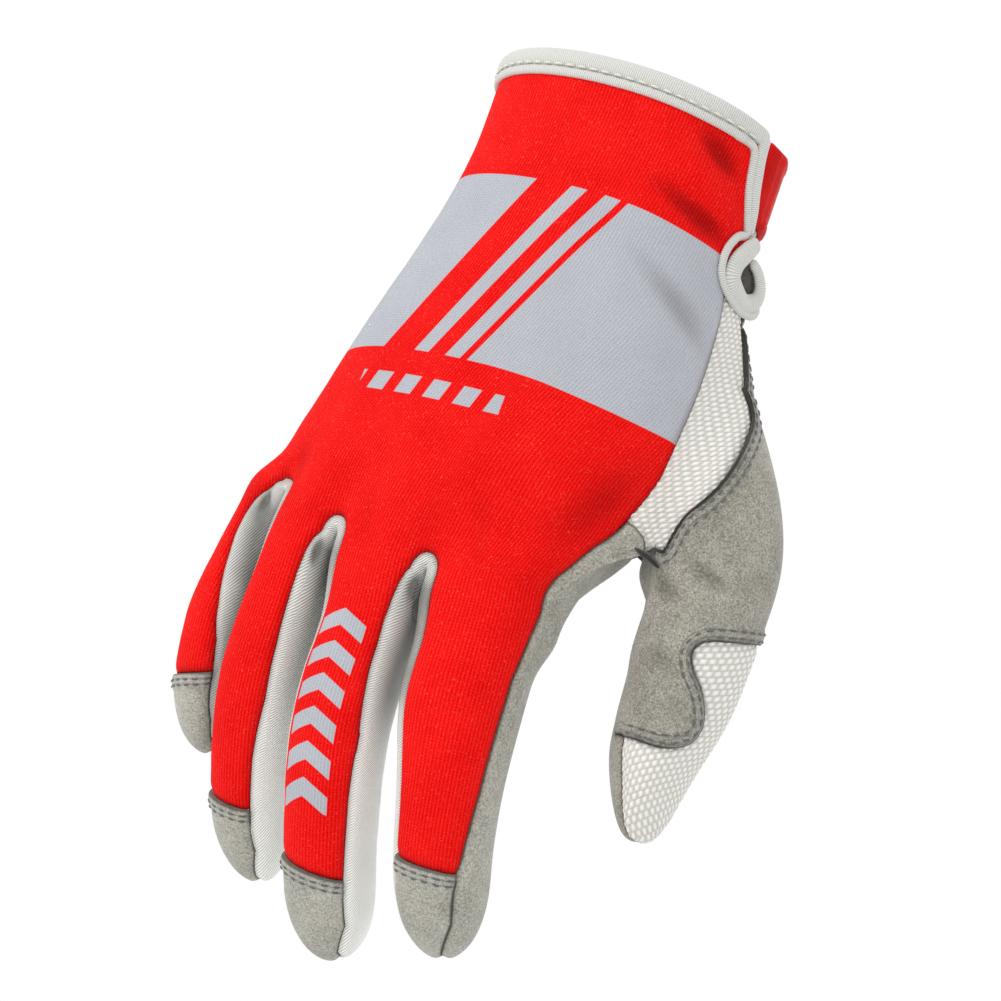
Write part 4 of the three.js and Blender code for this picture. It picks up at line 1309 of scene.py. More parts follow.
def printOn(f, speck):
    # the band, its edges dropping a little toward the thumb
    def above(level, drop):
        return f.z - (f.x.rise(*drop[1:]) * -drop[0]) - level

    top = above(printed["bandTop"], printed["topDrop"]).rise(printed["blur"], -printed["blur"])
    bottom = above(printed["bandBottom"], printed["bottomDrop"]).rise(-printed["blur"], printed["blur"])
    lean = f.x - f.z * printed["barLean"] - printed["barsAt"]
    first, *others = (lean.inside(*bar) for bar in printed["bars"])
    for bar in others:
        first = first.either(bar)
    band = top * bottom * (1 - first)
    dashRow = f.z.inside(printed["dashBottom"], printed["dashTop"])
    dashRow = dashRow * f.x.inside(printed["dashFrom"], printed["dashTo"])
    slanted = (f.x - f.z * printed["dashLean"] - printed["dashFrom"]) / printed["dashPitch"]
    dashes = dashRow * (slanted.fraction() * printed["dashPitch"]).inside(0.6, printed["dashWidth"])
    # bars with a slanted lower end, stacked down the middle finger
    across = f.across - printed["fingerAt"]
    step = (-f.z + printed["fingerTop"]) + across.absolute() * -printed["fingerLean"]
    step = step / printed["fingerPitch"]
    chevron = (step.fraction() * printed["fingerPitch"]).inside(0.5, printed["fingerBar"])
    onMiddle = f.x.inside(-27, -3) * f.z.inside(printed["fingerBottom"], printed["fingerTop"])
    chevrons = chevron * across.inside(-printed["fingerHalf"], printed["fingerHalf"]) * onMiddle
    # worn print lets single red threads through
    return band.either(dashes).either(chevrons) * (0.95 + speck.rise(0.25, 0.5) * 0.05)


def knitRed():
    f = Finish("knitRed")
    rib = f.across.wave(knit["ribPitch"])
    course = (f.down + f.across.wave(knit["ribPitch"]) * 0.3).wave(knit["coursePitch"])
    weave = rib * 0.6 + course * 0.4
    speck = f.noise(0.35, 2, 0.6)
    tone = weave * 0.4 + speck * 0.42 + f.noise(9, 3, 0.55) * 0.26
    red = f.colours(tone, (0.25, knit["redDark"]), (0.5, knit["red"]), (0.82, knit["redLight"]))
    grey = f.colours(tone, (0.2, knit["printDark"]), (0.7, knit["print"]), (0.9, knit["printLight"]))
    grained = printOn(f, speck)
    colour = f.blend(grained, red, grey)
    # painted highlights: pale specks where light glints off the knit's loops, kept off the print
    fibres = f.noise(0.3, 2, 0.7, stretch=(1, 1, 0.6)).rise(0.6, 0.74) * (1 - grained)
    colour = f.blend(fibres * 0.42, colour, knit["fibres"])
    # painted shade: darker in and beside the seam's groove
    colour = f.shaded(f.fromSeam.rise(1.6, 0.1) * 0.3, colour, knit["atSeams"])
    # painted shade in folds and between fingers
    colour = f.shaded(f.fold.rise(0.1, 1.5) * 0.6, colour, knit["inFolds"])
    height = weave * knit["relief"] + speck * 0.06
    return f.finish(colour, 0.86, height, 1.0, sheen=0.02, sheenRoughness=0.5, specular=0.06)


# painted light: paler towards the fingertips, between two heights, and darker up near the crotch where the
# walls lie in shade
satin = {
    "pitch": 0.54,
    "light": "F7F7F4",
    "mid": "D1D1CC",
    "dark": "95968F",
    "atSeams": "8A8A84",
    "inFolds": "60605C",
    "dim": -108,
    "bright": -165,
}


def satinGrey():
    f = Finish("satinGrey")
    twill = (f.across * 0.8 + f.down).wave(satin["pitch"])
    yarn = f.noise(0.3, 2, 0.6)
    # painted light and shade: lighter low on the walls, darker high up near the crotch
    lit = f.z.rise(satin["dim"], satin["bright"])
    tone = twill * 0.6 + yarn * 0.24 + f.noise(7, 2, 0.5) * 0.14 + lit * 0.26 - 0.1
    colour = f.colours(tone, (0.1, satin["dark"]), (0.5, satin["mid"]), (0.85, satin["light"]))
    # painted shade: darker in and beside the seam's groove
    colour = f.shaded(f.fromSeam.rise(1.2, 0.0) * 0.3, colour, satin["atSeams"])
    # painted shade in folds and between fingers
    colour = f.shaded(f.fold.rise(0.0, 1.2) * 0.8, colour, satin["inFolds"])
    height = twill * 0.08 + yarn * 0.04
    return f.finish(colour, 0.46 - twill * 0.12, height, 0.8, sheen=0.3, sheenRoughness=0.35, specular=0.5)


def suede(name, dark, mid, light, rows=()):
    # rows are the distances from a seam at which stitches press into it
    f = Finish(name)
    nap = f.noise(0.46, 3, 0.75)
    fibre = f.noise(0.2, 2, 0.7)
    cloud = f.noise(6.5, 4, 0.6)
    brushed = f.noise(16, 2, 0.5, stretch=(1, 1, 0.4))
    tone = nap * 0.55 + fibre * 0.33 + cloud * 0.16 + brushed * 0.1 - 0.06
    colour = f.colours(tone, (0.4, dark), (0.51, mid), (0.63, light))
    # painted shadow: a dark line along the seams
    colour = f.shaded(f.fromSeam.rise(1.0, 0.05) * 0.4 + f.fromSeam.rise(0.5, 0.15) * 0.5, colour, dark)
    # painted shade in folds and between fingers
    colour = f.shaded(f.fold.rise(0.1, 1.2) * 0.7, colour, dark)
    height = nap * 0.2 + fibre * 0.12 + cloud * 0.2
    for row in rows:
        # painted shade in the grooves that the stitches press into the suede
        groove = f.lap.inside(row - 0.12, row + 0.12, 0.22)
        colour = f.shaded(groove * 0.45, colour, dark)
        height = height - groove * 0.3
    return f.finish(colour, 0.95, height, 0.8, sheen=0.3, sheenRoughness=0.6, specular=0.12)


mesh = {
    "across": 1.7,
    "down": 2.5,
    "lean": 0.16,
    "relief": 0.24,
    "light": "F2F1ED",
    "mid": "E2E0DA",
    "dark": "BFBCB3",
}


def paleMesh():
    f = Finish("paleMesh")
    row = f.down / mesh["down"] + f.across * mesh["lean"]
    shifted = f.across / mesh["across"] + (row * 2).floor() * 0.5
    loop = shifted.wave(1.0) * (row * 2 * math.pi).sine().absolute()
    yarn = f.noise(0.3, 2, 0.6)
    tone = loop * 0.75 + yarn * 0.3
    colour = f.colours(tone, (0.12, mesh["dark"]), (0.4, mesh["mid"]), (0.8, mesh["light"]))
    return f.finish(colour, 0.82, loop * 0.3 + yarn * 0.1, 0.9, sheen=0.2, sheenRoughness=0.5, specular=0.2)


tape = {"ribPitch": 0.44, "light": "DEDEDA", "mid": "D0D0CC", "dark": "B2B2AD"}
rubber = {"dark": "A80C08", "mid": "C8120D", "light": "DA1F17"}


def ribbedTape():
    f = Finish("ribbedTape")
    rib = f.across.wave(tape["ribPitch"])
    yarn = f.noise(0.4, 2, 0.6)
    tone = rib * 0.6 + yarn * 0.35
    colour = f.colours(tone, (0.15, tape["dark"]), (0.5, tape["mid"]), (0.85, tape["light"]))
    return f.finish(colour, 0.78, rib * 0.08 + yarn * 0.05, 0.9, sheen=0.2, sheenRoughness=0.4, specular=0.3)


def rubberRed():
    f = Finish("rubberRed")
    grain = f.noise(0.5, 3, 0.6)
    tone = grain * 0.5 + f.noise(8, 2, 0.5) * 0.5
    colour = f.colours(tone, (0.3, rubber["dark"]), (0.55, rubber["mid"]), (0.8, rubber["light"]))
    return f.finish(colour, grain * 0.15 + 0.52, grain * 0.06, 0.7, specular=0.08)


def threadOf(name, dark, light):
    f = Finish(name)
    ply = (f.x + f.z + f.y).wave(0.35)
    colour = f.colours(ply * 0.5 + f.noise(0.3, 2, 0.6) * 0.5, (0.2, dark), (0.8, light))
    return f.finish(colour, 0.6, ply * 0.05, 0.6, sheen=0.2, sheenRoughness=0.4)


# Where the rows of stitches lie, in millimetres from the seam
capRows = (1.25, 2.35)
thumbRows = (0.9, 2.3)
redFinish = knitRed()
satinFinish = satinGrey()
palmFinish = suede("suedeGrey", "77756B", "A2A095", "C6C4BA")
capFinish = suede("suedeCap", "77756B", "A2A095", "C6C4BA", capRows)
thumbFinish = suede("suedeThumb", "66635A", "8F8C81", "B8B5AA", thumbRows)
# painted shade: near black suede for the patch behind the slit loop's hole
holeShadeFinish = suede("suedeDark", "2C2A25", "45423A", "5E5B51")
# painted shade: near black, for the raw edge's fold and ridge
edgeShadeFinish = suede("suedeRawEdge", "16150F", "28261F", "3B382F")
meshFinish = paleMesh()
tapeFinish = ribbedTape()
rubberFinish = rubberRed()
greyThread = threadOf("threadGrey", "47494E", "6E7075")
paleThread = threadOf("threadPale", "C9C6BA", "ECEADF")
print("materials made")


def meshRelief(rows):
    # the raised loops of the coarse mesh, as its material draws them
    across, down, fromSeam = rows.T
    row = down / mesh["down"] + across * mesh["lean"]
    shifted = across / mesh["across"] + np.floor(row * 2) * 0.5
    loop = (np.sin(shifted * 2 * np.pi) * 0.5 + 0.5) * np.abs(np.sin(row * 2 * np.pi))
    return loop * mesh["relief"] * np.clip(fromSeam / 1.2, 0, 1)


walls = {"knit": 1.2, "suede": 1.25, "mesh": 1.05, "satin": 0.95}
panels = [
    ("back_panel", "knit", "red_knit", redFinish),
    ("palm_panel", "suede", "grey_suede", palmFinish),
    ("side_mesh", "mesh", "pale_mesh", meshFinish),
    ("thumb_shell", "suede", "thumb_suede", thumbFinish),
    ("thumb_tip_mesh", "mesh", "pale_mesh", meshFinish),
    ("thumb_pad", "suede", "grey_suede", thumbFinish),
]
panels += [(sideName(lane), "satin", "pale_satin", satinFinish) for lane in range(lastLane)]
panels += [(f"tip_cap_{name}", "suede", "grey_suede", capFinish) for name in fingerNames]
for node, cloth, slotName, finish in panels:
    isMesh = cloth == "mesh"
    made = buildPanel(node, walls[cloth], 1 if isMesh else 0, meshRelief if isMesh else None)
    dressed(made, slotName, finish, node)
print("panels made")

# Tapes, strap and stitches lie on the skin, by row and column of the cage's upper rings
upperGrid = np.array([[points[i] for i in ring] for ring in upperRings])
rowHeight = hand["palmLength"] * hand["crotchShare"] / hand["handRows"]
slitFront, slitRear = firstColumn["sideA"], firstColumn["thumb"]


def gridPoint(row, column):
    c = int(math.floor(column))

    def across(r):
        if r < 0:
            return 2 * across(0) - across(-r)
        ring = upperGrid[min(r, len(upperGrid) - 1)]
        return catmull(*(ring[(c + k) % len(ring)] for k in (-1, 0, 1, 2)), column - c)

    r = int(math.floor(row))
    return catmull(*(across(r + k) for k in (-1, 0, 1, 2)), row - r)


def skinAt(row, column, off=0.0):
    # a point on the skin or above it, and the way out
    spot = gridPoint(row, column)
    downward = gridPoint(row + 0.05, column) - gridPoint(row - 0.05, column)
    across = gridPoint(row, column + 0.05) - gridPoint(row, column - 0.05)
    way = unit(np.cross(downward, across))
    soft = noiseAt([spot], softness["swellSize"], 1)[0] * softness["swell"] + foldHeights(np.array([spot]))[0]
    return spot + way * (off + soft), way


gridAcross = np.array([ringPlaces(ring, backMiddle)[:-1, 0] for ring in upperRings])


def columnAt(across, down):
    # the column that lies so many millimetres across at that distance down
    row = max(0, down / rowHeight)
    r = int(row)
    values = mix(gridAcross[r], gridAcross[r + 1], row - r)[backMiddle:firstColumn["palm2"]]
    return backMiddle + float(np.interp(across, values, np.arange(len(values))))


def clothPoint(across, down, lift=0.0):
    return skinAt(down / rowHeight, columnAt(across, down), lift)[0]


def evenly(path, step):
    # a curve through the path's points, stepped evenly
    path = np.array(path, float)
    length = np.linalg.norm(np.diff(path[:, :3], axis=0), axis=1).sum()
    return smoothLine(path, max(3, int(length / step) + 1))


class Parts:
    # points, faces and cloth places of several forms that become one object
    def __init__(self):
        self.spots, self.faces, self.cloth, self.count = [], [], [], 0

    def add(self, spots, faces, cloth):
        self.spots.append(np.asarray(spots, float))
        self.cloth.append(np.asarray(cloth, float))
        self.faces += [tuple(int(i) + self.count for i in face) for face in faces]
        self.count += len(spots)

    def made(self, name):
        made = makeObject(name, np.vstack(self.spots), self.faces)
        addCloth(made, np.vstack(self.cloth))
        return made


def sweep(parts, path, ways, section, scale=1.0):
    # a section, (inward, out) points in millimetres, carried along a path; inward is left of it
    heading = np.gradient(path, axis=0)
    heading /= np.linalg.norm(heading, axis=1)[:, None]
    inward = np.cross(ways, heading)
    inward /= np.linalg.norm(inward, axis=1)[:, None]
    out = np.cross(heading, inward)
    section = np.array(section, float)
    n, m = len(path), len(section)
    scale = np.broadcast_to(scale, n)[:, None]
    spots = (path[:, None] + inward[:, None] * (section[:, 0] * scale)[:, :, None]
             + out[:, None] * (section[:, 1] * scale)[:, :, None])
    along, around = lengthsAlong(path)[:, None], lengthsAlong(section)[None]
    cloth = np.stack(np.broadcast_arrays(along, around, np.full((1, 1), 3.0)), 2)
    faces = tubeFaces(n, m)
    faces += [tuple(range(m))[::-1], tuple((n - 1) * m + k for k in range(m))]
    parts.add(spots.reshape(-1, 3), faces, cloth.reshape(-1, 3))


def tubeFaces(n, m):
    # the faces between n rings of m points
    return [(i * m + k, i * m + (k + 1) % m, (i + 1) * m + (k + 1) % m, (i + 1) * m + k)
            for i in range(n - 1) for k in range(m)]


def roundSection(halfWidth, halfHeight, sides=12):
    turns = np.linspace(0, 2 * math.pi, sides, endpoint=False)
    return [(halfWidth * math.cos(t), halfHeight * math.sin(t)) for t in turns]


def tapered(count, length, least=0.3, over=1.2):
    # scales that close a roll's ends
    along = np.linspace(0, 1, count)
    near = np.minimum(along, 1 - along) * length
    return np.sqrt(np.clip(1 - (1 - np.clip(near / over, 0, 1)) ** 2, least ** 2, 1))


def treeFrom(spots, faces):
    return BVHTree.FromPolygons([Vector(p) for p in spots], [tuple(int(i) for i in face) for face in faces])


def nearestOn(tree, spots):
    # the nearest points of a surface, and its ways out there
    hits = [tree.find_nearest(Vector(p)) for p in spots]
    return np.array([h[0] for h in hits]), np.array([h[1] for h in hits])


cuffTape = {
    "step": 0.8,
    "rim": [
        (3.0, -0.6), (3.0, -1.9), (2.2, -2.05), (0.8, -2.05), (-0.2, -1.9), (-0.75, -1.35), (-0.95, -0.6),
        (-0.85, 0.2), (-0.5, 0.8), (0.1, 1.15), (0.9, 1.28), (1.7, 1.2), (2.4, 1.0), (2.85, 0.7), (3.05, 0.3),
    ],
    "ends": (36.4, 31.5),  # of the rim and of the roll, across the cloth
    "rollAt": 4.0,
    "rollLift": 0.25,
    "rollWidth": 1.05,
    "rollHeight": 0.75,
    "stitchAt": 2.75,
    "stitch": 2.05,
    "stitchGap": 0.65,
    "stitchLift": 1.02,
    "stitchSize": 1.15,
    "stitchFrom": 1.5,
    "rear": 1.0,  # columns past the slit where it starts, under the strap
    "raised": 1.7,  # on the outer half of the back
    "round": 1.45,  # the rim's length, of the wrist's width and depth together
}


def cuffLine(inward, count, end=columnAt(cuffTape["ends"][0], 0)):
    path, ways = [], []
    for column in np.linspace(slitRear + cuffTape["rear"] - len(columns), end, count):
        raised = cuffTape["raised"] * ramp((slitFront - column) / 9) * mix(0.3, 1, ramp((column + 14) / 10))
        spot, way = skinAt((inward - raised) / rowHeight, column)
        path.append(spot)
        ways.append(way)
    return np.array(path[::-1]), np.array(ways[::-1])


cuffLength = cuffTape["round"] * (hand["wristWidth"] + hand["wristDepth"])
cuffCount = int(cuffLength / cuffTape["step"])
cuffParts = Parts()
path, ways = cuffLine(0.0, cuffCount)
sweep(cuffParts, path, ways, cuffTape["rim"], tapered(cuffCount, cuffLength, 0.7))
path, ways = cuffLine(cuffTape["rollAt"], cuffCount, columnAt(cuffTape["ends"][1], cuffTape["rollAt"]))
rollSection = roundSection(cuffTape["rollWidth"], cuffTape["rollHeight"])
sweep(cuffParts, path + ways * cuffTape["rollLift"], ways, rollSection)
dressed(cuffParts.made("cuffTape"), "ribbed_tape", tapeFinish, "cuff_binding")

# The slit's tape: its front edge ends in a curled loop, laid on the skin round a middle point.
# The loop's places are millimetres toward the palm and down from there, and above the skin.
slitTape = {
    "frontSize": (1.55, 0.95),
    "frontRoll": [
        (32.6, 4.0), (34.2, 4.9), (35.0, 7.0), (35.8, 9.8), (36.8, 12.6), (38.1, 15.2), (39.6, 17.3),
    ],
    "frontTape": [
        (35.9, 0.4), (36.2, 4.3), (37.2, 8.2), (38.7, 12.0), (40.4, 15.4), (41.8, 18.2), (42.6, 20.2),
    ],
    "rollStart": 28.5,
    "rollSize": (0.92, 0.7),
    "rearSize": (1.4, 1.0),
    "rearSink": -0.9,
    "step": 0.5,  # between the points of a path
    "rearStep": 0.7,
    "lift": 0.3,
    "lengths": {"roll": 60, "front": 24, "loop": 40, "rear": 32},  # over which the ends are rounded
    "loopMiddle": (33.5, -1.0, -28.5),
    "loopWay": (0.93, -0.35, 0.0),
    "loopSink": -1.0,
    "rollLoop": [
        (-1.8, -8.1, 0.5), (-4.3, -6.1, 0.5), (-5.8, -3.1, 0.5), (-6.1, -0.1, 0.5), (-5.2, 2.8, 0.5),
        (-2.7, 4.9, 0.5), (1.0, 6.1, 0.5), (5.2, 6.1, 0.6), (8.7, 4.9, 0.7), (9.7, 2.6, 0.4),
    ],
    "tapeLoop": [
        (1.2, -7.7, 2.0), (-1.1, -4.3, 1.7), (-2.6, -1.0, 1.1), (-2.2, 2.2, 0.9), (1.6, 4.1, 0.9),
        (5.1, 4.0, 0.9), (7.7, 2.2, 0.9), (7.8, -0.6, 0.8), (5.7, -3.2, 0.6), (3.0, -4.6, 0.2),
    ],
    "tapeLoopSize": (2.25, 1.25),
    "tapeLoopWidths": [(0, 0.7), (0.1, 0.95), (0.3, 1), (0.75, 0.85), (1, 0.5)],  # along it
    "liningAt": (4.0, 0.3, -0.6),
    "liningSize": (4.1, 5.0),
    "liningDepth": 0.8,
}
wholeSkin = treeFrom(positions, triangles)
loopWay = unit(np.array(slitTape["loopWay"]))
loopSide = unit(np.cross((0, 0, 1), loopWay))


def loopPoint(place):
    side, down, lift = place
    spot = np.array(slitTape["loopMiddle"]) + loopSide * side + np.array([0, 0, -1.0]) * down
    hit = wholeSkin.ray_cast(Vector(spot + loopWay * 25), Vector(-loopWay))
    height = (np.array(hit[0]) - spot) @ loopWay if hit[0] else -9
    return spot + loopWay * (max(height, slitTape["loopSink"]) + lift)


def leaningWays(path):
    # ways out that lean toward the loop's own
    return np.array([unit(way + loopWay * 1.5) for way in nearestOn(wholeSkin, path)[1]])


slitParts = Parts()
rollStart = columnAt(slitTape["rollStart"], cuffTape["rollAt"])
roll = [skinAt(cuffTape["rollAt"] / rowHeight, rollStart, 0.2)[0]]
roll += [clothPoint(*place, slitTape["lift"]) for place in slitTape["frontRoll"]]
roll = evenly(roll + [loopPoint(p) for p in slitTape["rollLoop"]], slitTape["step"])
fade = tapered(len(roll), slitTape["lengths"]["roll"])
sweep(slitParts, roll, leaningWays(roll), roundSection(*slitTape["rollSize"]), fade)
front = evenly([clothPoint(*place, 0.35) for place in slitTape["frontTape"]], slitTape["step"])
fade = tapered(len(front), slitTape["lengths"]["front"], 0.6)
sweep(slitParts, front, leaningWays(front), roundSection(*slitTape["frontSize"]), fade)
loop = evenly([loopPoint(p) for p in slitTape["tapeLoop"]], slitTape["step"])
widths = np.interp(np.linspace(0, 1, len(loop)), *np.array(slitTape["tapeLoopWidths"]).T)
fade = tapered(len(loop), slitTape["lengths"]["loop"]) * widths
sweep(slitParts, loop, leaningWays(loop), roundSection(*slitTape["tapeLoopSize"], 16), fade)
rearRows = np.linspace(0.1, slitRows + 0.3, 10)
rear = [skinAt(row, slitRear + 0.3, slitTape["rearSink"])[0] for row in rearRows]
rear = evenly(rear, slitTape["rearStep"])
rearWays = nearestOn(wholeSkin, rear)[1]
fade = tapered(len(rear), slitTape["lengths"]["rear"])
sweep(slitParts, rear, rearWays, roundSection(*slitTape["rearSize"], 14), fade)
# A dark patch behind the loop's hole: painted shade, standing for the shaded inside seen through it
holeShade = Parts()
sides = 20
middle = loopPoint(slitTape["liningAt"])
oval = roundSection(*slitTape["liningSize"], sides)
outline = [middle + loopSide * x + np.array([0, 0, y]) for x, y in oval]
behind = [spot - loopWay * slitTape["liningDepth"] for spot in outline]
caps = [tuple(range(sides)), tuple(range(sides, 2 * sides))[::-1]]
around = [((k + 1) % sides, k, k + sides, (k + 1) % sides + sides) for k in range(sides)]
holeShade.add(outline + behind, caps + around, [(0, 0, 3)] * (2 * sides))
dressed(holeShade.made("loopLining"), "grey_suede", holeShadeFinish)
dressed(slitParts.made("slitTape"), "ribbed_tape", tapeFinish, "slit_binding")
print("tapes made")

# The rubber strap over the slit, from beside the slit's front edge round to the palm
strap = {
    "width": 17.4,
    "thickness": 1.4,
    "top": -0.6,
    "start": 1.75,  # millimetres past the slit's front edge
    "end": firstColumn["palm2"] + 2.5,
    "narrowing": 0.22,
    "rises": [(0, -1.3), (0.06, -1.0), (0.15, 0.0), (0.3, 0.25), (0.8, 0.45), (1, 0.45)],  # off the skin
    "rings": 110,
    "across": 26,
    "narrowFrom": 0.75,  # share of its length
    "endRings": 3,  # that round each end
    "flatTo": 0.9,  # share of its half width, and from there the edge is round
    "edgeShare": 0.35,  # of its thickness, at the edge
    "border": 0.22,
    "borderFrom": (0.72, 0.06),  # where the border rises, and over what share
    "borderTo": (0.9, 0.05),
    "ridgeWithin": 0.86,
    "ridgeDepth": 0.3,
    "ridges": 5,
    "ridgePitch": 1.15,
}


def strapForm():
    columnWidth = np.linalg.norm(gridPoint(2, slitFront + 1) - gridPoint(2, slitFront))
    first = slitFront + strap["start"] / columnWidth
    count, across = strap["rings"], strap["across"]
    middle = strap["top"] + strap["width"] / 2
    spots, cloth = [], []
    for i, c in enumerate(np.linspace(first, strap["end"], count)):
        t = i / (count - 1)
        rise = float(np.interp(t, *np.array(strap["rises"]).T))
        narrow = 1 - strap["narrowing"] * ramp((t - strap["narrowFrom"]) / (1 - strap["narrowFrom"]))
        nearEnd = clampUnit(min(t, 1 - t) * count * 0.5 / strap["endRings"])
        end = math.sqrt(clampUnit(1 - (1 - nearEnd) ** 2) * 0.93 + 0.07)
        half = strap["width"] / 2 * narrow * mix(0.9, 1, end)
        thick = strap["thickness"] * mix(strap["edgeShare"], 1, end)
        (riseAt, riseOver), (fallAt, fallOver) = strap["borderFrom"], strap["borderTo"]
        ring = []
        for k in range(across + 1):
            v = -1 + 2 * k / across
            edge = math.sqrt(max(0, 1 - max(0, (abs(v) - strap["flatTo"]) / (1 - strap["flatTo"])) ** 2))
            risen, fallen = ramp((abs(v) - riseAt) / riseOver), ramp((abs(v) - fallAt) / fallOver)
            border = strap["border"] * risen * (1 - fallen)
            ring.append((v, rise + thick * mix(strap["edgeShare"], 1, edge) + border))
        ring += [(v, rise) for v, _ in ring[::-1]]
        ridgeAt = (t * count * 0.55) / strap["ridgePitch"]
        for v, height in ring:
            if height > rise and 0.6 < ridgeAt < strap["ridges"] and abs(v) < strap["ridgeWithin"]:
                height += strap["ridgeDepth"] * (0.5 - 0.5 * math.cos(2 * math.pi * ridgeAt))
            spots.append(skinAt((middle + v * half) / rowHeight, c, height)[0])
            cloth.append((i * 0.6, v * half, 3.0))
    m = 2 * (across + 1)
    faces = [(a, d, c, b) for a, b, c, d in tubeFaces(count, m)]
    faces += [tuple(range(m)), tuple((count - 1) * m + k for k in range(m))[::-1]]
    parts = Parts()
    parts.add(spots, faces, cloth)
    return parts.made("wristStrap")


dressed(strapForm(), "red_rubber", rubberFinish, "wrist_strap")
print("strap made")

# Stitches: rows beside a seam, each a small sunk thread
stitching = {
    "radius": 0.24,
    "sides": 6,
    "length": 1.7,
    "uneven": (0.9, 1.06),
    "thumbGap": 0.7,
    "capGap": 0.75,
    "lift": 0.04,
    "sink": 0.16,  # at a stitch's ends
    "fewest": 8,  # points of a seam's line worth a row
}
panelTrees = {}


def treeOf(node):
    if node not in panelTrees:
        panelTrees[node] = treeFrom(panelData[node]["outer"], panelData[node]["faces"])
    return panelTrees[node]


def seamChains(node, neighbour):
    # lines of points along the seam of two panels
    data = panelData[node]
    taken = data["others"] == panelNames.index(neighbour)
    after = {int(a): int(b) for a, b in data["rim"][taken]}
    starts = [a for a in after if a not in set(after.values())] or list(after)[:1]
    chains = []
    for start in starts:
        line = [start]
        while line[-1] in after and len(line) <= len(after):
            line.append(after[line[-1]])
        chains.append(line)
    return chains


def smoothedPath(path, rounds=6):
    path = path.copy()
    for _ in range(rounds):
        path[1:-1] = path[1:-1] * 0.5 + (path[:-2] + path[2:]) * 0.25
    return path


def addStitch(parts, path, ways, size=1.0):
    share = np.linspace(0, 1, len(path))
    scale = np.sqrt(np.clip(1 - (2 * share - 1) ** 4, 0.04, 1)) * size
    sink = -stitching["sink"] * np.abs(2 * share - 1) ** 3
    section = roundSection(stitching["radius"], stitching["radius"], stitching["sides"])
    sweep(parts, path + ways * (stitching["lift"] + sink)[:, None], ways, section, scale)


def rowOf(parts, line, node, gap, trim, seed):
    # a row of stitches along a line of points near a panel
    along = lengthsAlong(line)
    chance = random.Random(seed)
    at = trim
    while at + stitching["length"] < along[-1] - trim:
        own = stitching["length"] * chance.uniform(*stitching["uneven"])
        path, ways = nearestOn(treeOf(node), placeAlong(line, along, np.linspace(at, at + own, 5)))
        if np.linalg.norm(path[-1] - path[0]) > 0.5 * own:
            addStitch(parts, path, ways)
        at += own + gap


def seamRow(parts, node, neighbour, inset, gap, trim, seed):
    for chain in seamChains(node, neighbour):
        if len(chain) < stitching["fewest"]:
            continue
        path = smoothedPath(positions[chain])
        heading = np.gradient(path, axis=0)
        heading /= np.maximum(1e-9, np.linalg.norm(heading, axis=1))[:, None]
        inward = np.cross(outward[chain], heading)
        rowOf(parts, smoothedPath(path + inward * inset, 4), node, gap, trim, seed)


capStitches, thumbStitches = Parts(), Parts()
for name in fingerNames:
    for k, inset in enumerate(capRows):
        seamRow(capStitches, f"tip_cap_{name}", "back_panel", inset, stitching["capGap"], 0.6, k + 3)
for k, inset in enumerate(thumbRows):
    seamRow(thumbStitches, "thumb_shell", "thumb_tip_mesh", inset, stitching["thumbGap"], 2, k + 11)
    seamRow(thumbStitches, "thumb_shell", "side_mesh", inset + 0.2, stitching["thumbGap"], 1.0, k + 21)
seamRow(thumbStitches, "thumb_shell", "palm_panel", 1.2, stitching["thumbGap"], 1.0, 41)
dressed(capStitches.made("capStitches"), "grey_suede", greyThread)
dressed(thumbStitches.made("thumbStitches"), "thumb_suede", greyThread)

# The suede's raw edge: a fold where the web ends, and a fine ridge beside the mesh, near black as painted
# shade
rawEdge = {
    "fold": [(33.8, 0.5, -88.7), (36.4, 1.1, -89.7), (39.6, 2.3, -91.0)],
    "foldSize": (0.7, 1.15),
    "foldRaised": 0.35,
    "ridge": 0.3,
    "ridgeRaised": 0.28,
}
rawEdges = Parts()
path, ways = nearestOn(wholeSkin, evenly(rawEdge["fold"], 0.4))
foldWays = np.tile(unit(np.mean(ways, axis=0)), (len(path), 1))
path = smoothedPath(path, 12) + foldWays * rawEdge["foldRaised"]
fade = np.maximum(0.1, np.sin(np.linspace(0, math.pi, len(path))) ** 0.7)  # leaf shaped
sweep(rawEdges, path, foldWays, roundSection(*rawEdge["foldSize"]), fade)
for chain in seamChains("thumb_shell", "side_mesh"):
    if len(chain) > 20:
        path, ways = nearestOn(treeOf("thumb_shell"), positions[chain])
        path = smoothedPath(path, 8) + ways * rawEdge["ridgeRaised"]
        ridgeSection = roundSection(rawEdge["ridge"], rawEdge["ridge"], 6)
        sweep(rawEdges, path, ways, ridgeSection, tapered(len(path), 40, 0.2))
dressed(rawEdges.made("rawEdges"), "thumb_suede", edgeShadeFinish)
cuffStitches = Parts()
path, ways = (line[::-1] for line in cuffLine(cuffTape["stitchAt"], 400))
along = lengthsAlong(path)
at = cuffTape["stitchFrom"]
while at + cuffTape["stitch"] < along[-1] - 1:
    steps = np.linspace(at, at + cuffTape["stitch"], 5)
    outs = placeAlong(ways, along, steps)
    spots = placeAlong(path, along, steps) + outs * cuffTape["stitchLift"]
    addStitch(cuffStitches, spots, outs, cuffTape["stitchSize"])
    at += cuffTape["stitch"] + cuffTape["stitchGap"]
dressed(cuffStitches.made("cuffStitches"), "ribbed_tape", paleThread)
print("stitches made")

# Camera where the photograph's was: how far round, below and turned in degrees, how far away in
# millimetres, millimetres for a pixel, and the frame's origin in its pixels
camera = {
    "azimuth": 25,
    "elevation": -15,
    "roll": 22,
    "distance": 900,
    "scale": 0.205,
    "originX": 640,
    "originY": 118,
    "imageSize": 1001,
    "sensorWidth": 36,
}


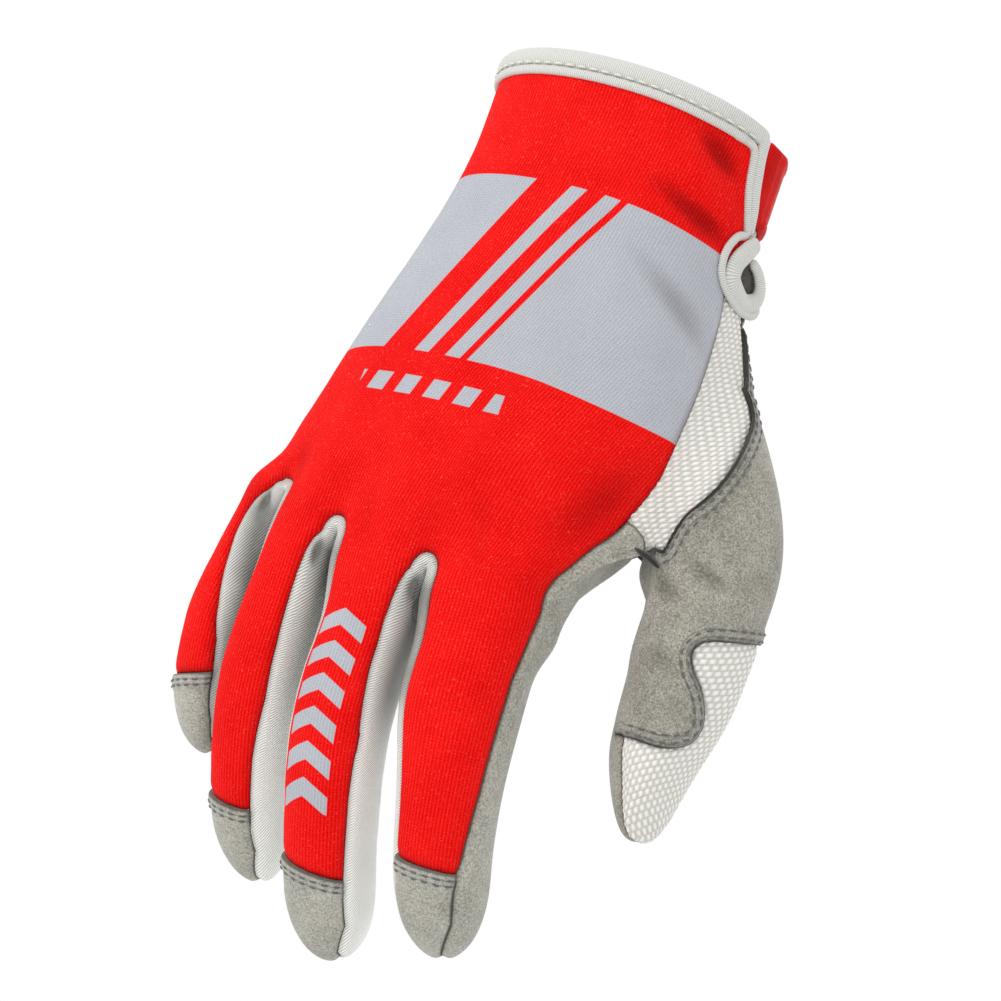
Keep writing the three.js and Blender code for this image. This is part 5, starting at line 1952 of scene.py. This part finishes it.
def addCamera():
    turn, lift, roll = (math.radians(camera[k]) for k in ("azimuth", "elevation", "roll"))
    right = Vector((math.cos(turn), math.sin(turn), 0))
    ahead = Vector((-math.sin(turn) * math.cos(lift), math.cos(turn) * math.cos(lift), -math.sin(lift)))
    above = right.cross(ahead)
    screenRight = right * math.cos(roll) + above * math.sin(roll)
    screenUp = above * math.cos(roll) - right * math.sin(roll)
    offX, offY = ((camera["imageSize"] / 2 - camera[k]) * camera["scale"] for k in ("originX", "originY"))
    data = bpy.data.cameras.new("camera")
    data.sensor_width = camera["sensorWidth"]
    data.lens = camera["distance"] / camera["scale"] * camera["sensorWidth"] / camera["imageSize"]
    data.clip_start, data.clip_end = 0.01, 20
    made = addObject("camera", data)
    spot = (screenRight * offX - screenUp * offY - ahead * camera["distance"]) * millimetre
    turned = Matrix((screenRight, screenUp, -ahead)).transposed().to_4x4()
    made.matrix_world = Matrix.Translation(spot) @ turned
    bpy.context.scene.camera = made


addCamera()

# Stage and light, in metres and watts
stage = {"floorDrop": 0.42, "floorSize": 6.0, "world": 1.0}
lights = table("name spot size power", [
    ("keyLight", (-0.95, -0.85, 0.5), 0.45, 6.5),
    ("fillLight", (0.5, -1.1, -0.3), 0.6, 2.2),
    ("topLight", (0.1, 0.3, 1.1), 0.8, 1.0),
    ("rimLight", (0.2, 1.2, 0.2), 0.8, 1.5),
])


def addLight(light):
    data = bpy.data.lights.new(light["name"], "AREA")
    data.size, data.energy = light["size"], light["power"]
    made = addObject(light["name"], data)
    made.location = light["spot"]
    ahead = (cadLow + cadHigh) / 2 - made.location
    made.rotation_euler = ahead.to_track_quat("-Z", "Y").to_euler()


def addStage():
    half = stage["floorSize"] / 2
    corners = [(-half, -half), (half, -half), (half, half), (-half, half)]
    floorMesh = bpy.data.meshes.new("floor")
    floorMesh.from_pydata([(x, y, -stage["floorDrop"]) for x, y in corners], [], [(0, 1, 2, 3)])
    floor = addObject("floor", floorMesh)
    paint = bpy.data.materials.new("floorPaint")
    paint.use_nodes = True
    grain = addNode(paint.node_tree, "TexNoise", {"Scale": 30})
    tint = addNode(paint.node_tree, "ValToRGB", {"Fac": grain.outputs["Fac"]})
    tint.color_ramp.elements[0].color = (0.78, 0.78, 0.77, 1)
    tint.color_ramp.elements[1].color = (0.84, 0.84, 0.83, 1)
    shader = paint.node_tree.nodes["Principled BSDF"]
    feed(shader.inputs["Base Color"], tint.outputs["Color"])
    feed(shader.inputs["Roughness"], 0.7)
    floorMesh.materials.append(paint)
    world = bpy.data.worlds.new("studio")
    bpy.context.scene.world = world
    world.use_nodes = True
    background = world.node_tree.nodes["Background"]
    feed(background.inputs["Color"], (1, 1, 1, 1))
    feed(background.inputs["Strength"], stage["world"])
    for light in lights:
        addLight(light)


addStage()
bpy.context.scene.view_settings.view_transform = "Standard"
print("stage made")
